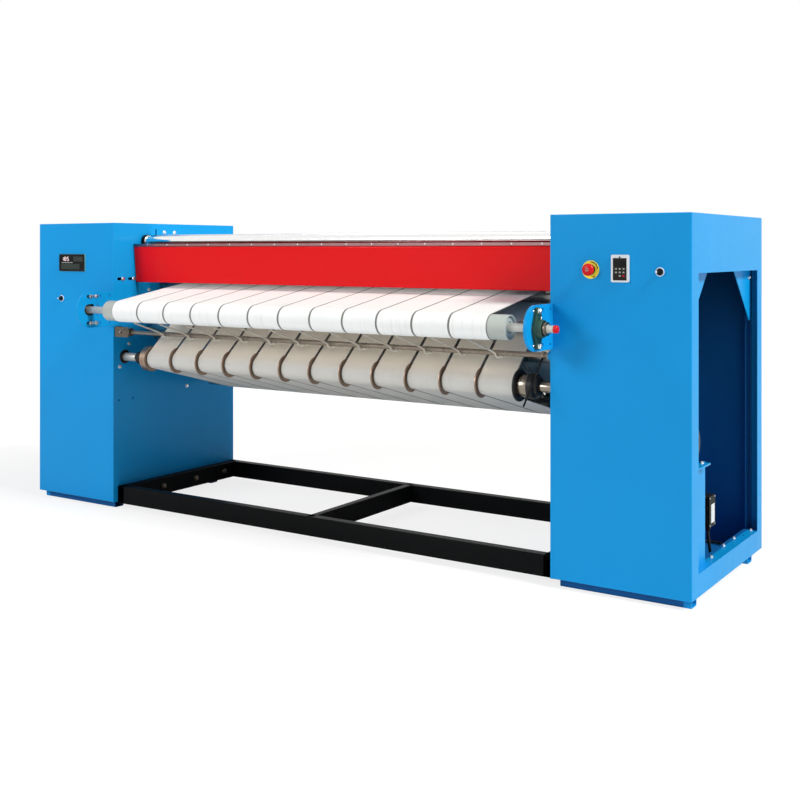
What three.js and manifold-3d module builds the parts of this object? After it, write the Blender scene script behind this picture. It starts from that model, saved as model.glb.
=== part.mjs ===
// Flatwork ironer: two sheet-steel cabinets carry a heated drum, a bed of feed belts
// above and a bed of delivery belts below, so that linen goes in and comes out at the front.
//
// Units are millimetres. +X runs to the drive cabinet, +Y to the back and +Z up. The machine
// is modelled with Y = 0 on the front faces of the cabinets, then moved as one so that its
// origin lies on the floor under the middle of its outline.

import * as THREE from 'three';
import { mergeVertices } from 'three/addons/utils/BufferGeometryUtils.js';
import Module from 'manifold-3d';

const wasm = await Module();
wasm.setup();

// ------------------------------------------------------------------ driving dimensions

// Clearances
const FIT_GAP = 0.3;                 // between faces that seat on each other
const RUN_GAP = 0.4;                 // round a shaft in its bore, on the radius

// Overall and cabinets
const MACHINE_HEIGHT = 1250;
const CABINET_WIDTH = 475;
const CABINET_DEPTH = 780;
const CABINET_SHEET = 2;
const INNER_WIDTH = 2094;            // clear width between the two side plates
const SIDE_PLATE_T = 10;

// Foot rails under the cabinets
const FOOT_HEIGHT = 30;
const FOOT_WIDTH = 50;
const FOOT_WALL = 4;
const FOOT_END_INSET = 12;
const FOOT_FRONT_INSET = 30;
const FOOT_REAR_INSET = 90;

// Side openings of the cabinets
const OPENING_FRONT = 64;            // from the front face to the opening
const OPENING_REAR = 58;             // from the back face to the opening
const SILL_HEIGHT = 75;              // above the foot rails
const HEADER_HEIGHT = 192;           // below the top
const CORNER_POST = 48;
const FRAME_SHEET = 3;
const SILL_FLANGE = 52;
const GUSSET_LENGTH = 200;
const GUSSET_HEIGHT = 185;
const GUSSET_SETBACK = 30;           // of the gussets from the outer wall
const COVER_LIP = 18;
const COVER_SHEET = 1.6;
const COVER_EDGE_GAP = 1.5;

// Ear of each side plate, which carries the feed roller in front of the cabinets
const EAR_REACH = 202;
const EAR_HEIGHT = 152;
const SHAFT_SLOT_LENGTH = 86;
const SHAFT_SLOT_HEIGHT = 48;
const BOLT_SLOT_LENGTH = 80;
const BOLT_SLOT_HEIGHT = 14;
const SLOT_SETBACK = 20;             // of the bolt slots' middle behind the feed shaft

// Heated drum, which the rollers round it are placed from
const DRUM_BACK = 275;               // from the cabinets' back to the drum's axis
const DRUM_DROP = 355;               // from the machine's top to the drum's axis
const DRUM_RADIUS = 195;
const DRUM_SHELL = 8;
const DRUM_END_PLATE = 10;
const DRUM_END_GAP = 26;             // from the drum's end plates to the side plates
const DRUM_JOURNAL_RADIUS = 34;
const DRUM_BORE_RADIUS = 20;

// Feed belts: one short loop over the feed roller and the nip roller
const BELT_COUNT = 12;
const BELT_MARGIN = 324;             // of the clear width, left free beside the belts
const BELT_CENTRE_X = 15;
const DELIVERY_SHIFT = 4;             // of the delivery belts towards the left
const FEED_BELT_GAP = 3.5;           // between neighbouring belts
const DELIVERY_BELT_GAP = 7;
const BELT_THICKNESS = 2;
const BELT_STEP = THREE.MathUtils.degToRad(30);   // facet angle of a belt round a roller

const FEED_AXIS_FORWARD = 130;       // in front of the cabinets
const FEED_AXIS_DROP = 374;
const FEED_ROLLER_RADIUS = 42;
const FEED_ROLLER_MARGIN = 200;      // of the clear width, left free beside the roller
const FEED_ROLLER_CENTRE_X = 19;
const FEED_SHAFT_RADIUS = 15;
const FEED_STUB_RADIUS = 12;
const FEED_STUB_REACH = 66;          // of the shaft's end beyond the side plate
const FEED_RIM = 4;
const FEED_RIM_DEPTH = 9;
const SHAFT_CAP_LENGTH = 14;
const CAP_RADIUS = 13;
const NIP_RADIUS = 24;
const NIP_GAP = 4;                   // between the nip belts and the drum
const NIP_ANGLE = THREE.MathUtils.degToRad(162);

// Delivery belts: one loop over three rollers
const DELIVERY_AXIS_BACK = 66;       // behind the cabinets' front
const DELIVERY_AXIS_DROP = 588.5;
const DELIVERY_RADIUS = 38;
const GUIDE_RING_RADIUS = 54;         // of the rings between the delivery belts
const GUIDE_RING_CLEARANCE = 1;       // from a ring to the belts beside it
const END_RING_LENGTH = 32;           // of the wide ring left of the first belt
const NOSE_RADIUS = 50;
const NOSE_DISTANCE = 118;           // of the nose roller's axis from the drum's surface
const NOSE_ANGLE = THREE.MathUtils.degToRad(202);
const TAIL_RADIUS = 36;
const TAIL_DISTANCE = 174;
const TAIL_ANGLE = THREE.MathUtils.degToRad(278.5);
const ROLLER_END_GAP = 60;           // of the plain rollers' bodies from the side plates
const JOURNAL_RADIUS = 14;
const FLANGE_RADIUS = 56;
const FLANGE_T = 8;
const FLANGE_BELT_GAP = 3;           // from the last belt to the right flange
const HUB_RADIUS = 40;               // of the stepped hub outside the right flange
const RIGHT_RING_RADIUS = 44;
const LEFT_RING_RADIUS = 28;
const LEFT_HUB_RADIUS = 22;

// Chain drive of the drum
const SPROCKET_PLANE = 65;           // of the chain line, outside the side plate
const SPROCKET_T = 10;
const CHAIN_PITCH = 25.4;
const DRUM_TEETH = 36;
const MOTOR_TEETH = 12;
const CHAIN_WIDTH = 18;
const CHAIN_PLATE_HEIGHT = 17;
const CHAIN_WAIST = 2.6;             // how far a link plate draws in between its pins

// Gear motor on its shelf in the right cabinet
const SHELF_Z = 438;                 // top of the shelf
const SHELF_DEPTH = 188;
const WEB_DEPTH = 220;                // of the upright panel under the shelf
const SHELF_T = 6;
const SHELF_INSET = 86;              // from the inner side, clear of the chain
const MOTOR_Y = 118;
const MOTOR_RADIUS = 62;
const MOTOR_RIBS = 12;
const MOTOR_RIB_HEIGHT = 6;
const MOTOR_COWL = 60;
const TERMINAL_BOX = 80;
const TERMINAL_RISE = 36;
const TERMINAL_SEAT = 26;             // of the terminal box below the tips of the ribs
const GEARBOX_LENGTH = 130;
const GEARBOX_SIZE = 136;
const GEARBOX_PLATE_GAP = 92;        // from the side plate to the gearbox
const MOTOR_SHAFT_RADIUS = 16;
const MOTOR_END_GAP = 30;            // from the motor's cowl to the outer wall

// Bearings
const BOSS_LENGTH = 26;
const BOSS_WALL = 16;
const HOUSING_HEIGHT = 138;
const HOUSING_WIDTH = 66;
const HOUSING_BASE = 13;
const HOUSING_HUB_RADIUS = 31;
const HOUSING_HUB_LENGTH = 34;
const HOUSING_BOLT_SPACING = 114;
const COLLAR_RADIUS = 23;
const COLLAR_LENGTH = 10;
const BOLT_RADIUS = 5;
const BOLT_HEAD_RADIUS = 9.5;
const BOLT_HEAD_T = 7;

// Finger bar and its brackets
const FINGER_BAR_BACK = 20;          // behind the cabinets' front
const FINGER_BAR_DROP = 475;
const FINGER_BAR_RADIUS = 9;
const FINGER_COUNT = 12;
const FINGER_LEAD = 43;              // of the first finger's hook beyond the first belt's middle
const FINGER_PITCH_LESS = 3.2;       // than the belts' pitch
const FINGER_WIRE_RADIUS = 2;
const FINGER_ROLLER_GAP = 3.5;       // from a finger's tip to the feed belts
const FINGER_SLANT = 30;             // of a finger's tip towards the left
const FINGER_HOOK = 28;
const FINGER_BAR_INSET = 73;         // of the bar's left end from the left side plate
const FINGER_BAR_OVERRUN = 7;        // of the bar's left end beyond its lug
const FINGER_LUG_RADIUS = 17;
const FINGER_LUG_T = 12;
const BRACKET_T = 4;
const BRACKET_HEIGHT = 44;
const BRACKET_FOOT = 40;
const LEVER_RADIUS = 3.5;
const LEVER_LENGTH = 216;
const LEVER_ANGLE = THREE.MathUtils.degToRad(46);   // below the horizontal, to the front
const LEVER_INSET = 28;              // of the lever's hub from the right side plate
const LEVER_HUB_T = 12;
const LEVER_HUB_WALL = 4;

// Red finger guard on its hinge rail
const GUARD_BACK = 121;              // of the hinge's axis behind the cabinets' front
const GUARD_DROP = 109;
const GUARD_HEIGHT = 153;
const GUARD_SHEET = 2;
const GUARD_KNUCKLE = 5;
const GUARD_FLANGE = 16;
const GUARD_TILT = THREE.MathUtils.degToRad(5.2);
const GUARD_END_GAP = 6;
const GUARD_RAIL_HEIGHT = 12;
const GUARD_RAIL_DEPTH = 30;
const GUARD_RAIL_SHEET = 3;

// Polished cross tube and hood
const TUBE_BACK = 190;
const TUBE_DROP = 79;
const TUBE_RADIUS = 21;
const TUBE_COLLAR_RADIUS = 28;
const TUBE_COLLAR_LENGTH = 18;
const HOOD_SHEET = 2;
const HOOD_FRONT_BACK = 224;         // of the hood's front lip behind the cabinets' front
const HOOD_DROP = 51;
const HOOD_FRONT_LIP = 26;
const HOOD_BACK_INSET = 14;
const HOOD_HEIGHT = 599;
const HOOD_REAR_FLANGE = 20;

// Holes, slots and bolts of the side plates, each from the front face and from the top
const GUARD_SLOTS = { back: 46, drop: 246, length: 47, pitch: 63, bolt: 9 };
const HOOD_SLIT = { back: 255, drop: 38, width: 8, height: 30 };
const HOOD_BOLTS = { back: 308, drop: 38, pitch: 64 };
const STAY_BOLTS = { back: 92, drop: 534 };
const FRONT_BOLT = { back: 37, drop: 631 };
const NIP_BOLT = { back: 212, drop: 298 };
const REAR_BOLT = { back: 453, drop: 756 };
const CABLE_HOLES = { back: 32, drop: 777, pitch: 84 };
const EAR_HOLES = { back: -22, rise: 59 };
const PLATE_BOLT_RADIUS = 7.5;
const PLATE_HOLE_RADIUS = 5;
const PLATE_SLOT_HEIGHT = 12;
const CLAMP_SETBACK = 32;            // of the clamp bolts behind the feed shaft

// Base frame of box section between the cabinets
const BEAM_HEIGHT = 75;
const BEAM_WIDTH = 40;
const BEAM_BOTTOM = 24;
const FRAME_FRONT_INSET = 24;
const FRAME_REAR_INSET = 4;
const CROSS_MEMBER_X = 6;
const CROSS_MEMBER_WIDTH = 32;

// Controls, placed from the middle and the top of each cabinet's front face
const ESTOP = { x: -102, drop: 183, ring: 30, ringT: 2, collar: 17, collarLength: 12 };
const ESTOP_BUTTON = { radius: 20, length: 12, stem: 11, travel: 5, crown: 2.5 };
const KEYPAD = { x: 1.5, drop: 179, width: 66, height: 92, depth: 7, corner: 4 };
const KEYPAD_WINDOW = { width: 50, height: 77, depth: 1.2 };
const KEYPAD_KEY = { size: 9, pitch: 14, rise: 0.9, rows: 3, columns: 3, topDrop: 44 };
const SELECTOR_RIGHT = { x: 135, drop: 188 };
const SELECTOR_LEFT = { x: -84, drop: 337 };
const SELECTOR = { bezel: 15, bezelT: 4, stem: 6, disc: 11, discT: 4, grip: 6, gripT: 9 };
const CONTROLLER = { x: -12, drop: 176, width: 164, height: 76, rim: 6, rimT: 8, recess: 2 };
const CONTROLLER_BODY = { width: 152, height: 66, depth: 82 };

// Black control box and its cable on the floor of the right cabinet, from its outer wall
const CONTROL_BOX = { inset: 95, y: 378, width: 78, depth: 64, height: 107, rise: 152 };
const CONTROL_POST = { width: 30, depth: 40, inset: 4 };
const GLAND = { inset: 125, rise: 24, radius: 9, length: 10 };
const CABLE_RADIUS = 5;
const CABLE_LIFT = 2.5;
const CABLE_TURN = { x: -167, y: 680, radius: 55 };   // of the loop on the floor, from the outer wall

// Facets: a full circle of a roller, of the drum, of a small part, a bolt and a wire, and a
// corner's quarter
const ROUND = 16;
const DRUM_ROUND = 24;
const RING_ROUND = 12;
const SMALL_ROUND = 10;
const HEX = 6;
const WIRE_SIDES = 5;
const CORNER_PARTS = 2;

// ------------------------------------------------------------------ derived positions

const PLATE_IN = INNER_WIDTH / 2;
const PLATE_OUT = PLATE_IN + SIDE_PLATE_T;
const CABINET_IN = PLATE_OUT + FIT_GAP;
const CABINET_OUT = CABINET_IN + CABINET_WIDTH;
const CABINET_MID = (CABINET_IN + CABINET_OUT) / 2;
const SILL_TOP = FOOT_HEIGHT + SILL_HEIGHT;
const HEADER_BOTTOM = MACHINE_HEIGHT - HEADER_HEIGHT;
const EAR_RADIUS = EAR_HEIGHT / 2;
const OPENING_BACK = CABINET_DEPTH - OPENING_REAR;
const CENTRE_Y = (CABINET_DEPTH - EAR_REACH) / 2;
const BELT_PITCH = (INNER_WIDTH - BELT_MARGIN) / BELT_COUNT;
const FEED_BELT_WIDTH = BELT_PITCH - FEED_BELT_GAP;
const DELIVERY_BELT_WIDTH = BELT_PITCH - DELIVERY_BELT_GAP;
const FIRST_BELT_X = BELT_CENTRE_X - ((BELT_COUNT - 1) * BELT_PITCH) / 2;
const DELIVERY_BELT_START = FIRST_BELT_X - DELIVERY_SHIFT - DELIVERY_BELT_WIDTH / 2;
const DELIVERY_BELT_END = 2 * (BELT_CENTRE_X - DELIVERY_SHIFT) - DELIVERY_BELT_START;

/** Radius on which the inside of a belt's corners lies, so that its flat facets clear a roller. */
const lappedRadius = (radius) => (radius + FIT_GAP) / Math.cos(BELT_STEP / 2);

/** An axis at a distance from the drum's own, in a direction given from +Y towards +Z. */
const roundDrum = (distance, angle) => ({
  y: DRUM.y + distance * Math.cos(angle), z: DRUM.z + distance * Math.sin(angle) });

const DRUM = { y: CABINET_DEPTH - DRUM_BACK, z: MACHINE_HEIGHT - DRUM_DROP, radius: DRUM_RADIUS };
const FEED_ROLLER = {
  y: -FEED_AXIS_FORWARD, z: MACHINE_HEIGHT - FEED_AXIS_DROP, radius: FEED_ROLLER_RADIUS };
const NIP_ROLLER = {
  ...roundDrum(DRUM_RADIUS + NIP_GAP + BELT_THICKNESS + lappedRadius(NIP_RADIUS), NIP_ANGLE),
  radius: NIP_RADIUS };
const DELIVERY_ROLLER = {
  y: DELIVERY_AXIS_BACK, z: MACHINE_HEIGHT - DELIVERY_AXIS_DROP, radius: DELIVERY_RADIUS };
const NOSE_ROLLER = { ...roundDrum(DRUM_RADIUS + NOSE_DISTANCE, NOSE_ANGLE), radius: NOSE_RADIUS };
const TAIL_ROLLER = { ...roundDrum(DRUM_RADIUS + TAIL_DISTANCE, TAIL_ANGLE), radius: TAIL_RADIUS };
const FINGER_BAR = {
  y: FINGER_BAR_BACK, z: MACHINE_HEIGHT - FINGER_BAR_DROP, radius: FINGER_BAR_RADIUS };
const FINGER_TIP = {
  y: FEED_ROLLER.y,
  z: FEED_ROLLER.z - lappedRadius(FEED_ROLLER_RADIUS) - BELT_THICKNESS - FINGER_ROLLER_GAP
    - FINGER_WIRE_RADIUS };
const GUARD_HINGE = { y: GUARD_BACK, z: MACHINE_HEIGHT - GUARD_DROP };
const TOP_TUBE = { y: TUBE_BACK, z: MACHINE_HEIGHT - TUBE_DROP, radius: TUBE_RADIUS };
const MOTOR_Z = SHELF_Z + FIT_GAP + GEARBOX_SIZE / 2;
const JOURNAL_END = PLATE_OUT + BOSS_LENGTH + 4;
const CHAIN_LINE = PLATE_OUT + SPROCKET_PLANE;

// ------------------------------------------------------------------ finishes

const finish = (color, roughness, metalness) => ({ color, roughness, metalness });
const BLUE = finish(0x1b8bd8, 0.45, 0.05);
const RED = finish(0xe01b22, 0.4, 0.0);
const BLACK_PAINT = finish(0x17181a, 0.5, 0.1);
const BLACK_PLASTIC = finish(0x141416, 0.45, 0.0);
const STEEL = finish(0x8d8a84, 0.35, 0.9);
const DARK_STEEL = finish(0x4c463f, 0.4, 0.85);
const STAINLESS = finish(0xc9ccd0, 0.22, 0.95);
const GREY_PAINT = finish(0xb3b9b6, 0.5, 0.1);
const GREEN_IRON = finish(0x1f3d31, 0.5, 0.2);
const BELT_CLOTH = finish(0xe9e7e4, 0.9, 0.0);
const CREAM_CLOTH = finish(0xe2ddd2, 0.9, 0.0);
const YELLOW = finish(0xf2c81e, 0.45, 0.0);
const PALE_PLASTIC = finish(0xdfe3e4, 0.5, 0.0);
const MOTOR_PAINT = finish(0x23272b, 0.5, 0.3);

// ------------------------------------------------------------------ shape helpers

const group = new THREE.Group();
const machine = new THREE.Group();
machine.position.y = -CENTRE_Y;
group.add(machine);

/** Keeps only merged positions and drops triangles without area. */
function clean(geometry) {
  const bare = new THREE.BufferGeometry();
  bare.setAttribute('position', geometry.getAttribute('position').clone());
  if (geometry.index) bare.setIndex(geometry.index.clone());
  const merged = mergeVertices(bare, 1e-4);
  const kept = [];
  const index = merged.index.array;
  for (let i = 0; i < index.length; i += 3) {
    const [a, b, c] = [index[i], index[i + 1], index[i + 2]];
    if (a !== b && b !== c && c !== a) kept.push(a, b, c);
  }
  merged.setIndex(kept);
  return facingOut(merged);
}

/** Turns the faces round where a closed geometry is inside out. */
function facingOut(geometry) {
  const p = geometry.getAttribute('position');
  const index = Array.from(geometry.index.array);
  const [a, b, c] = [new THREE.Vector3(), new THREE.Vector3(), new THREE.Vector3()];
  let volume = 0;
  for (let i = 0; i < index.length; i += 3) {
    a.fromBufferAttribute(p, index[i]);
    b.fromBufferAttribute(p, index[i + 1]);
    c.fromBufferAttribute(p, index[i + 2]);
    volume += a.dot(b.cross(c));
  }
  if (volume < 0) {
    for (let i = 0; i < index.length; i += 3) [index[i], index[i + 1]] = [index[i + 1], index[i]];
    geometry.setIndex(index);
  }
  return geometry;
}

function toSolid(geometry) {
  const g = clean(geometry);
  return new wasm.Manifold(new wasm.Mesh({
    numProp: 3,
    vertProperties: new Float32Array(g.getAttribute('position').array),
    triVerts: new Uint32Array(g.index.array),
  }));
}

function toGeometry(solid) {
  const data = solid.getMesh();
  const g = new THREE.BufferGeometry();
  g.setAttribute('position', new THREE.BufferAttribute(new Float32Array(data.vertProperties), 3));
  g.setIndex(Array.from(data.triVerts));
  return g;
}

const join = (...parts) => toGeometry(parts.map(toSolid).reduce((a, b) => a.add(b)));
const cut = (body, ...tools) =>
  toGeometry(tools.map(toSolid).reduce((a, b) => a.subtract(b), toSolid(body)));

function add(name, geometry, look, parent = machine) {
  const shown = clean(geometry).toNonIndexed();
  shown.computeVertexNormals();
  const mesh = new THREE.Mesh(shown, new THREE.MeshStandardMaterial(look));
  mesh.name = name;
  parent.add(mesh);
  return mesh;
}

/** A block between two X, two Y and two Z planes, in either order. */
function block([x0, x1], [y0, y1], [z0, z1]) {
  const g = new THREE.BoxGeometry(Math.abs(x1 - x0), Math.abs(y1 - y0), Math.abs(z1 - z0));
  return g.translate((x0 + x1) / 2, (y0 + y1) / 2, (z0 + z1) / 2);
}

/** The X range from a to b outwards from the middle, on the left (-1) or right (+1) side. */
const outward = (side, a, b) => [side * a, side * b];

const ALONG_X = new THREE.Matrix4().makeBasis(
  new THREE.Vector3(0, 1, 0), new THREE.Vector3(0, 0, 1), new THREE.Vector3(1, 0, 0));
const ALONG_Y = new THREE.Matrix4().makeBasis(
  new THREE.Vector3(1, 0, 0), new THREE.Vector3(0, 0, 1), new THREE.Vector3(0, -1, 0));

/** A (Y, Z) outline made solid between two X planes. */
function plateX(shape, [xa, xb]) {
  const g = new THREE.ExtrudeGeometry(shape, { depth: Math.abs(xb - xa), bevelEnabled: false });
  return g.applyMatrix4(ALONG_X).translate(Math.min(xa, xb), 0, 0);
}

/** An (X, Z) outline made solid between two Y planes. */
function plateY(shape, [ya, yb]) {
  const g = new THREE.ExtrudeGeometry(shape, { depth: Math.abs(yb - ya), bevelEnabled: false });
  return g.applyMatrix4(ALONG_Y).translate(0, Math.max(ya, yb), 0);
}

function polygon(points) {
  const shape = new THREE.Shape();
  points.forEach(([u, v], i) => (i ? shape.lineTo(u, v) : shape.moveTo(u, v)));
  shape.closePath();
  return shape;
}

/** Points along an arc, both ends included. */
const arc = (cu, cv, radius, from, to, parts) => Array.from({ length: parts + 1 }, (_, i) => {
  const angle = from + ((to - from) * i) / parts;
  return [cu + radius * Math.cos(angle), cv + radius * Math.sin(angle)];
});

const circlePoints = (cu, cv, radius, sides) =>
  arc(cu, cv, radius, 0, Math.PI * 2, sides).slice(0, sides);
const circle = (cu, cv, radius, sides = SMALL_ROUND) => polygon(circlePoints(cu, cv, radius, sides));

/** A rectangle round a centre, with its corners rounded where a radius is given. */
function rectangle(cu, cv, width, height, radius = 0, parts = CORNER_PARTS) {
  const [u, v] = [width / 2 - radius, height / 2 - radius];
  const corners = [[1, 1], [-1, 1], [-1, -1], [1, -1]];
  if (!radius) return polygon(corners.map(([a, b]) => [cu + a * u, cv + b * v]));
  return polygon(corners.flatMap(([a, b], i) => (
    arc(cu + a * u, cv + b * v, radius, (i * Math.PI) / 2, ((i + 1) * Math.PI) / 2, parts))));
}

const slot = (cu, cv, length, height) =>
  rectangle(cu, cv, length, height, Math.min(length, height) / 2 - 0.01);

/** A body turned about the X axis through (y, z), from a profile of [x, radius] points. */
function turned(profile, { y, z }, sides = ROUND) {
  const points = profile.map(([x, r]) => new THREE.Vector2(r, x));
  const g = new THREE.LatheGeometry(points, sides);
  return g.rotateZ(-Math.PI / 2).translate(0, y, z);
}

/** A body turned about the Y axis through (x, z), from [distance in front, radius] points. */
function turnedFront(profile, { x, z }, sides = SMALL_ROUND) {
  const points = profile.map(([forward, r]) => new THREE.Vector2(r, -forward));
  return new THREE.LatheGeometry(points, sides).translate(x, 0, z);
}

/** Radius of a faceted bore that lets a shaft of the given radius turn in it. */
const boreRadius = (shaft, sides) => (shaft + RUN_GAP) / Math.cos(Math.PI / sides);

/** A hexagon head that stands on an X plane and points towards the given side. */
function hexHead(x, towards, y, z, radius = BOLT_HEAD_RADIUS, height = BOLT_HEAD_T) {
  const sink = 0.5;
  const profile = [[x - towards * sink, 0], [x - towards * sink, radius],
    [x + towards * height, radius], [x + towards * height, 0]];
  return turned(profile, { y, z }, HEX);
}

// ------------------------------------------------------------------ belt loops

/** Points of the taut loop round circles that are listed counter-clockwise in (Y, Z). */
function tautLoop(circles, step) {
  const count = circles.length;
  const leaving = circles.map((c, i) => {
    const next = circles[(i + 1) % count];
    const [dy, dz] = [next.y - c.y, next.z - c.z];
    const distance = Math.hypot(dy, dz);
    return Math.atan2(dz, dy) - Math.acos((c.radius - next.radius) / distance);
  });
  return circles.flatMap((c, i) => {
    const from = leaving[(i + count - 1) % count];
    let to = leaving[i];
    while (to < from) to += Math.PI * 2;
    const parts = Math.ceil((to - from) / step);
    return Array.from({ length: parts + 1 }, (_, k) => {
      const a = from + ((to - from) * k) / parts;
      return [c.y + c.radius * Math.cos(a), c.z + c.radius * Math.sin(a)];
    });
  });
}

/** Circles that the corners of a belt lie on, raised for its outside. */
const lapped = (rollers, rise = 0) => rollers.map(({ y, z, radius }) => (
  { y, z, radius: lappedRadius(radius) + rise }));

function beltLoop(rollers, [xa, xb]) {
  const shape = polygon(tautLoop(lapped(rollers, BELT_THICKNESS), BELT_STEP));
  shape.holes.push(polygon(tautLoop(lapped(rollers), BELT_STEP)));
  return plateX(shape, [xa, xb]);
}

function belts(prefix, rollers, width, look, shift = 0) {
  for (let i = 0; i < BELT_COUNT; i += 1) {
    const middle = FIRST_BELT_X - shift + i * BELT_PITCH;
    const name = `${prefix}_${String(i + 1).padStart(2, '0')}`;
    add(name, beltLoop(rollers, [middle - width / 2, middle + width / 2]), look);
  }
}

// ------------------------------------------------------------------ side plates

const JOURNALS = [
  { at: NIP_ROLLER, radius: JOURNAL_RADIUS },
  { at: DELIVERY_ROLLER, radius: JOURNAL_RADIUS },
  { at: NOSE_ROLLER, radius: JOURNAL_RADIUS },
  { at: TAIL_ROLLER, radius: JOURNAL_RADIUS },
  { at: DRUM, radius: DRUM_JOURNAL_RADIUS },
];
/** A place on a side plate, from its distances behind the front and below the top. */
const onPlate = ({ back, drop }, shift = 0) => ({ y: back + shift, z: MACHINE_HEIGHT - drop });

const PLATE_BOLTS = [onPlate(HOOD_BOLTS), onPlate(HOOD_BOLTS, HOOD_BOLTS.pitch), onPlate(NIP_BOLT),
  onPlate(STAY_BOLTS), onPlate(FRONT_BOLT), onPlate(REAR_BOLT),
  onPlate(GUARD_SLOTS, GUARD_SLOTS.bolt), onPlate(GUARD_SLOTS, GUARD_SLOTS.pitch + GUARD_SLOTS.bolt)];
const PLATE_HOLES = [onPlate(CABLE_HOLES), onPlate(CABLE_HOLES, CABLE_HOLES.pitch),
  { y: EAR_HOLES.back, z: FEED_ROLLER.z + EAR_HOLES.rise },
  { y: EAR_HOLES.back, z: FEED_ROLLER.z - EAR_HOLES.rise }];

function sidePlate(side, name) {
  const top = MACHINE_HEIGHT;
  const earTop = FEED_ROLLER.z + EAR_RADIUS;
  const earBottom = FEED_ROLLER.z - EAR_RADIUS;
  const earCentre = -(EAR_REACH - EAR_RADIUS);
  const shape = polygon([[0, FOOT_HEIGHT], [CABINET_DEPTH, FOOT_HEIGHT], [CABINET_DEPTH, top],
    [0, top], [0, earTop],
    ...arc(earCentre, FEED_ROLLER.z, EAR_RADIUS, Math.PI / 2, Math.PI * 1.5, SMALL_ROUND),
    [0, earBottom]]);

  const boltRise = HOUSING_BOLT_SPACING / 2;
  shape.holes.push(slot(FEED_ROLLER.y + SHAFT_SLOT_LENGTH / 8, FEED_ROLLER.z,
    SHAFT_SLOT_LENGTH, SHAFT_SLOT_HEIGHT));
  for (const rise of [boltRise, -boltRise]) {
    shape.holes.push(slot(FEED_ROLLER.y + SLOT_SETBACK, FEED_ROLLER.z + rise,
      BOLT_SLOT_LENGTH, BOLT_SLOT_HEIGHT));
  }
  for (const at of [onPlate(GUARD_SLOTS), onPlate(GUARD_SLOTS, GUARD_SLOTS.pitch)]) {
    shape.holes.push(slot(at.y, at.z, GUARD_SLOTS.length, PLATE_SLOT_HEIGHT));
  }
  const slit = onPlate(HOOD_SLIT);
  shape.holes.push(slot(slit.y, slit.z, HOOD_SLIT.width, HOOD_SLIT.height));
  for (const h of PLATE_HOLES) shape.holes.push(circle(h.y, h.z, PLATE_HOLE_RADIUS, HEX));
  const bore = (j) => circle(j.at.y, j.at.z, boreRadius(j.radius, SMALL_ROUND), SMALL_ROUND);
  for (const j of JOURNALS) shape.holes.push(bore(j));

  const inFace = side * PLATE_IN;
  const outFace = side * PLATE_OUT;
  const bosses = JOURNALS.map((j) => {
    const ring = circle(j.at.y, j.at.z, j.radius + BOSS_WALL, SMALL_ROUND);
    ring.holes.push(bore(j));
    return plateX(ring, [outFace - side, outFace + side * BOSS_LENGTH]);
  });
  const heads = PLATE_BOLTS.map((b) => hexHead(inFace, -side, b.y, b.z, PLATE_BOLT_RADIUS));
  const clamps = [boltRise, -boltRise].flatMap((rise) => [1, -1].map((face) => (
    hexHead(face > 0 ? outFace : inFace, side * face, FEED_ROLLER.y + CLAMP_SETBACK,
      FEED_ROLLER.z + rise, BOLT_HEAD_RADIUS))));
  const lug = side > 0 ? [barLug([inFace - FINGER_LUG_T, inFace + 1])] : [];
  add(name, join(plateX(shape, [inFace, outFace]), ...bosses, ...heads, ...clamps, ...lug), BLUE);
}

// ------------------------------------------------------------------ cabinets

/** The folded sheet casing that closes round one side plate, open towards the plate. */
function cabinetShell(side) {
  const t = CABINET_SHEET;
  const casing = block(outward(side, CABINET_IN, CABINET_OUT), [0, CABINET_DEPTH],
    [FOOT_HEIGHT, MACHINE_HEIGHT]);
  const inside = block(outward(side, CABINET_IN - 1, CABINET_OUT - t), [t, CABINET_DEPTH - t],
    [FOOT_HEIGHT + t, MACHINE_HEIGHT - t]);
  const opening = block(outward(side, CABINET_OUT - 2 * t, CABINET_OUT + 1),
    [OPENING_FRONT, OPENING_BACK], [SILL_TOP, HEADER_BOTTOM]);
  return { casing, inside, opening };
}

/** Corner posts, header and sill flange that stiffen the open side of a cabinet. */
function openingFrame(side) {
  const t = CABINET_SHEET;
  const f = FRAME_SHEET;
  const wall = CABINET_OUT - t / 2;
  const low = FOOT_HEIGHT + t / 2;
  const high = MACHINE_HEIGHT - t / 2;
  const sill = block(outward(side, CABINET_OUT - SILL_FLANGE, wall),
    [t / 2, CABINET_DEPTH - t / 2], [SILL_TOP - f, SILL_TOP]);
  const sillHoles = [OPENING_FRONT + 54, OPENING_BACK - 92].map((y) => (
    new THREE.CylinderGeometry(6, 6, 4 * f, SMALL_ROUND).rotateX(Math.PI / 2)
      .translate(side * (CABINET_OUT - SILL_FLANGE / 2), y, SILL_TOP)));
  const posts = [t / 2, CABINET_DEPTH - t / 2].map((y, i) => {
    const inwards = i ? -1 : 1;
    return block(outward(side, CABINET_OUT - CORNER_POST, CABINET_OUT - CORNER_POST + f),
      [y, y + inwards * CORNER_POST], [low, high]);
  });
  const header = block(outward(side, CABINET_OUT - CORNER_POST, wall),
    [t / 2, CABINET_DEPTH - t / 2], [HEADER_BOTTOM, HEADER_BOTTOM + f]);
  const drilledSill = cut(sill, ...sillHoles);
  return [drilledSill, ...posts, header];
}

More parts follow.
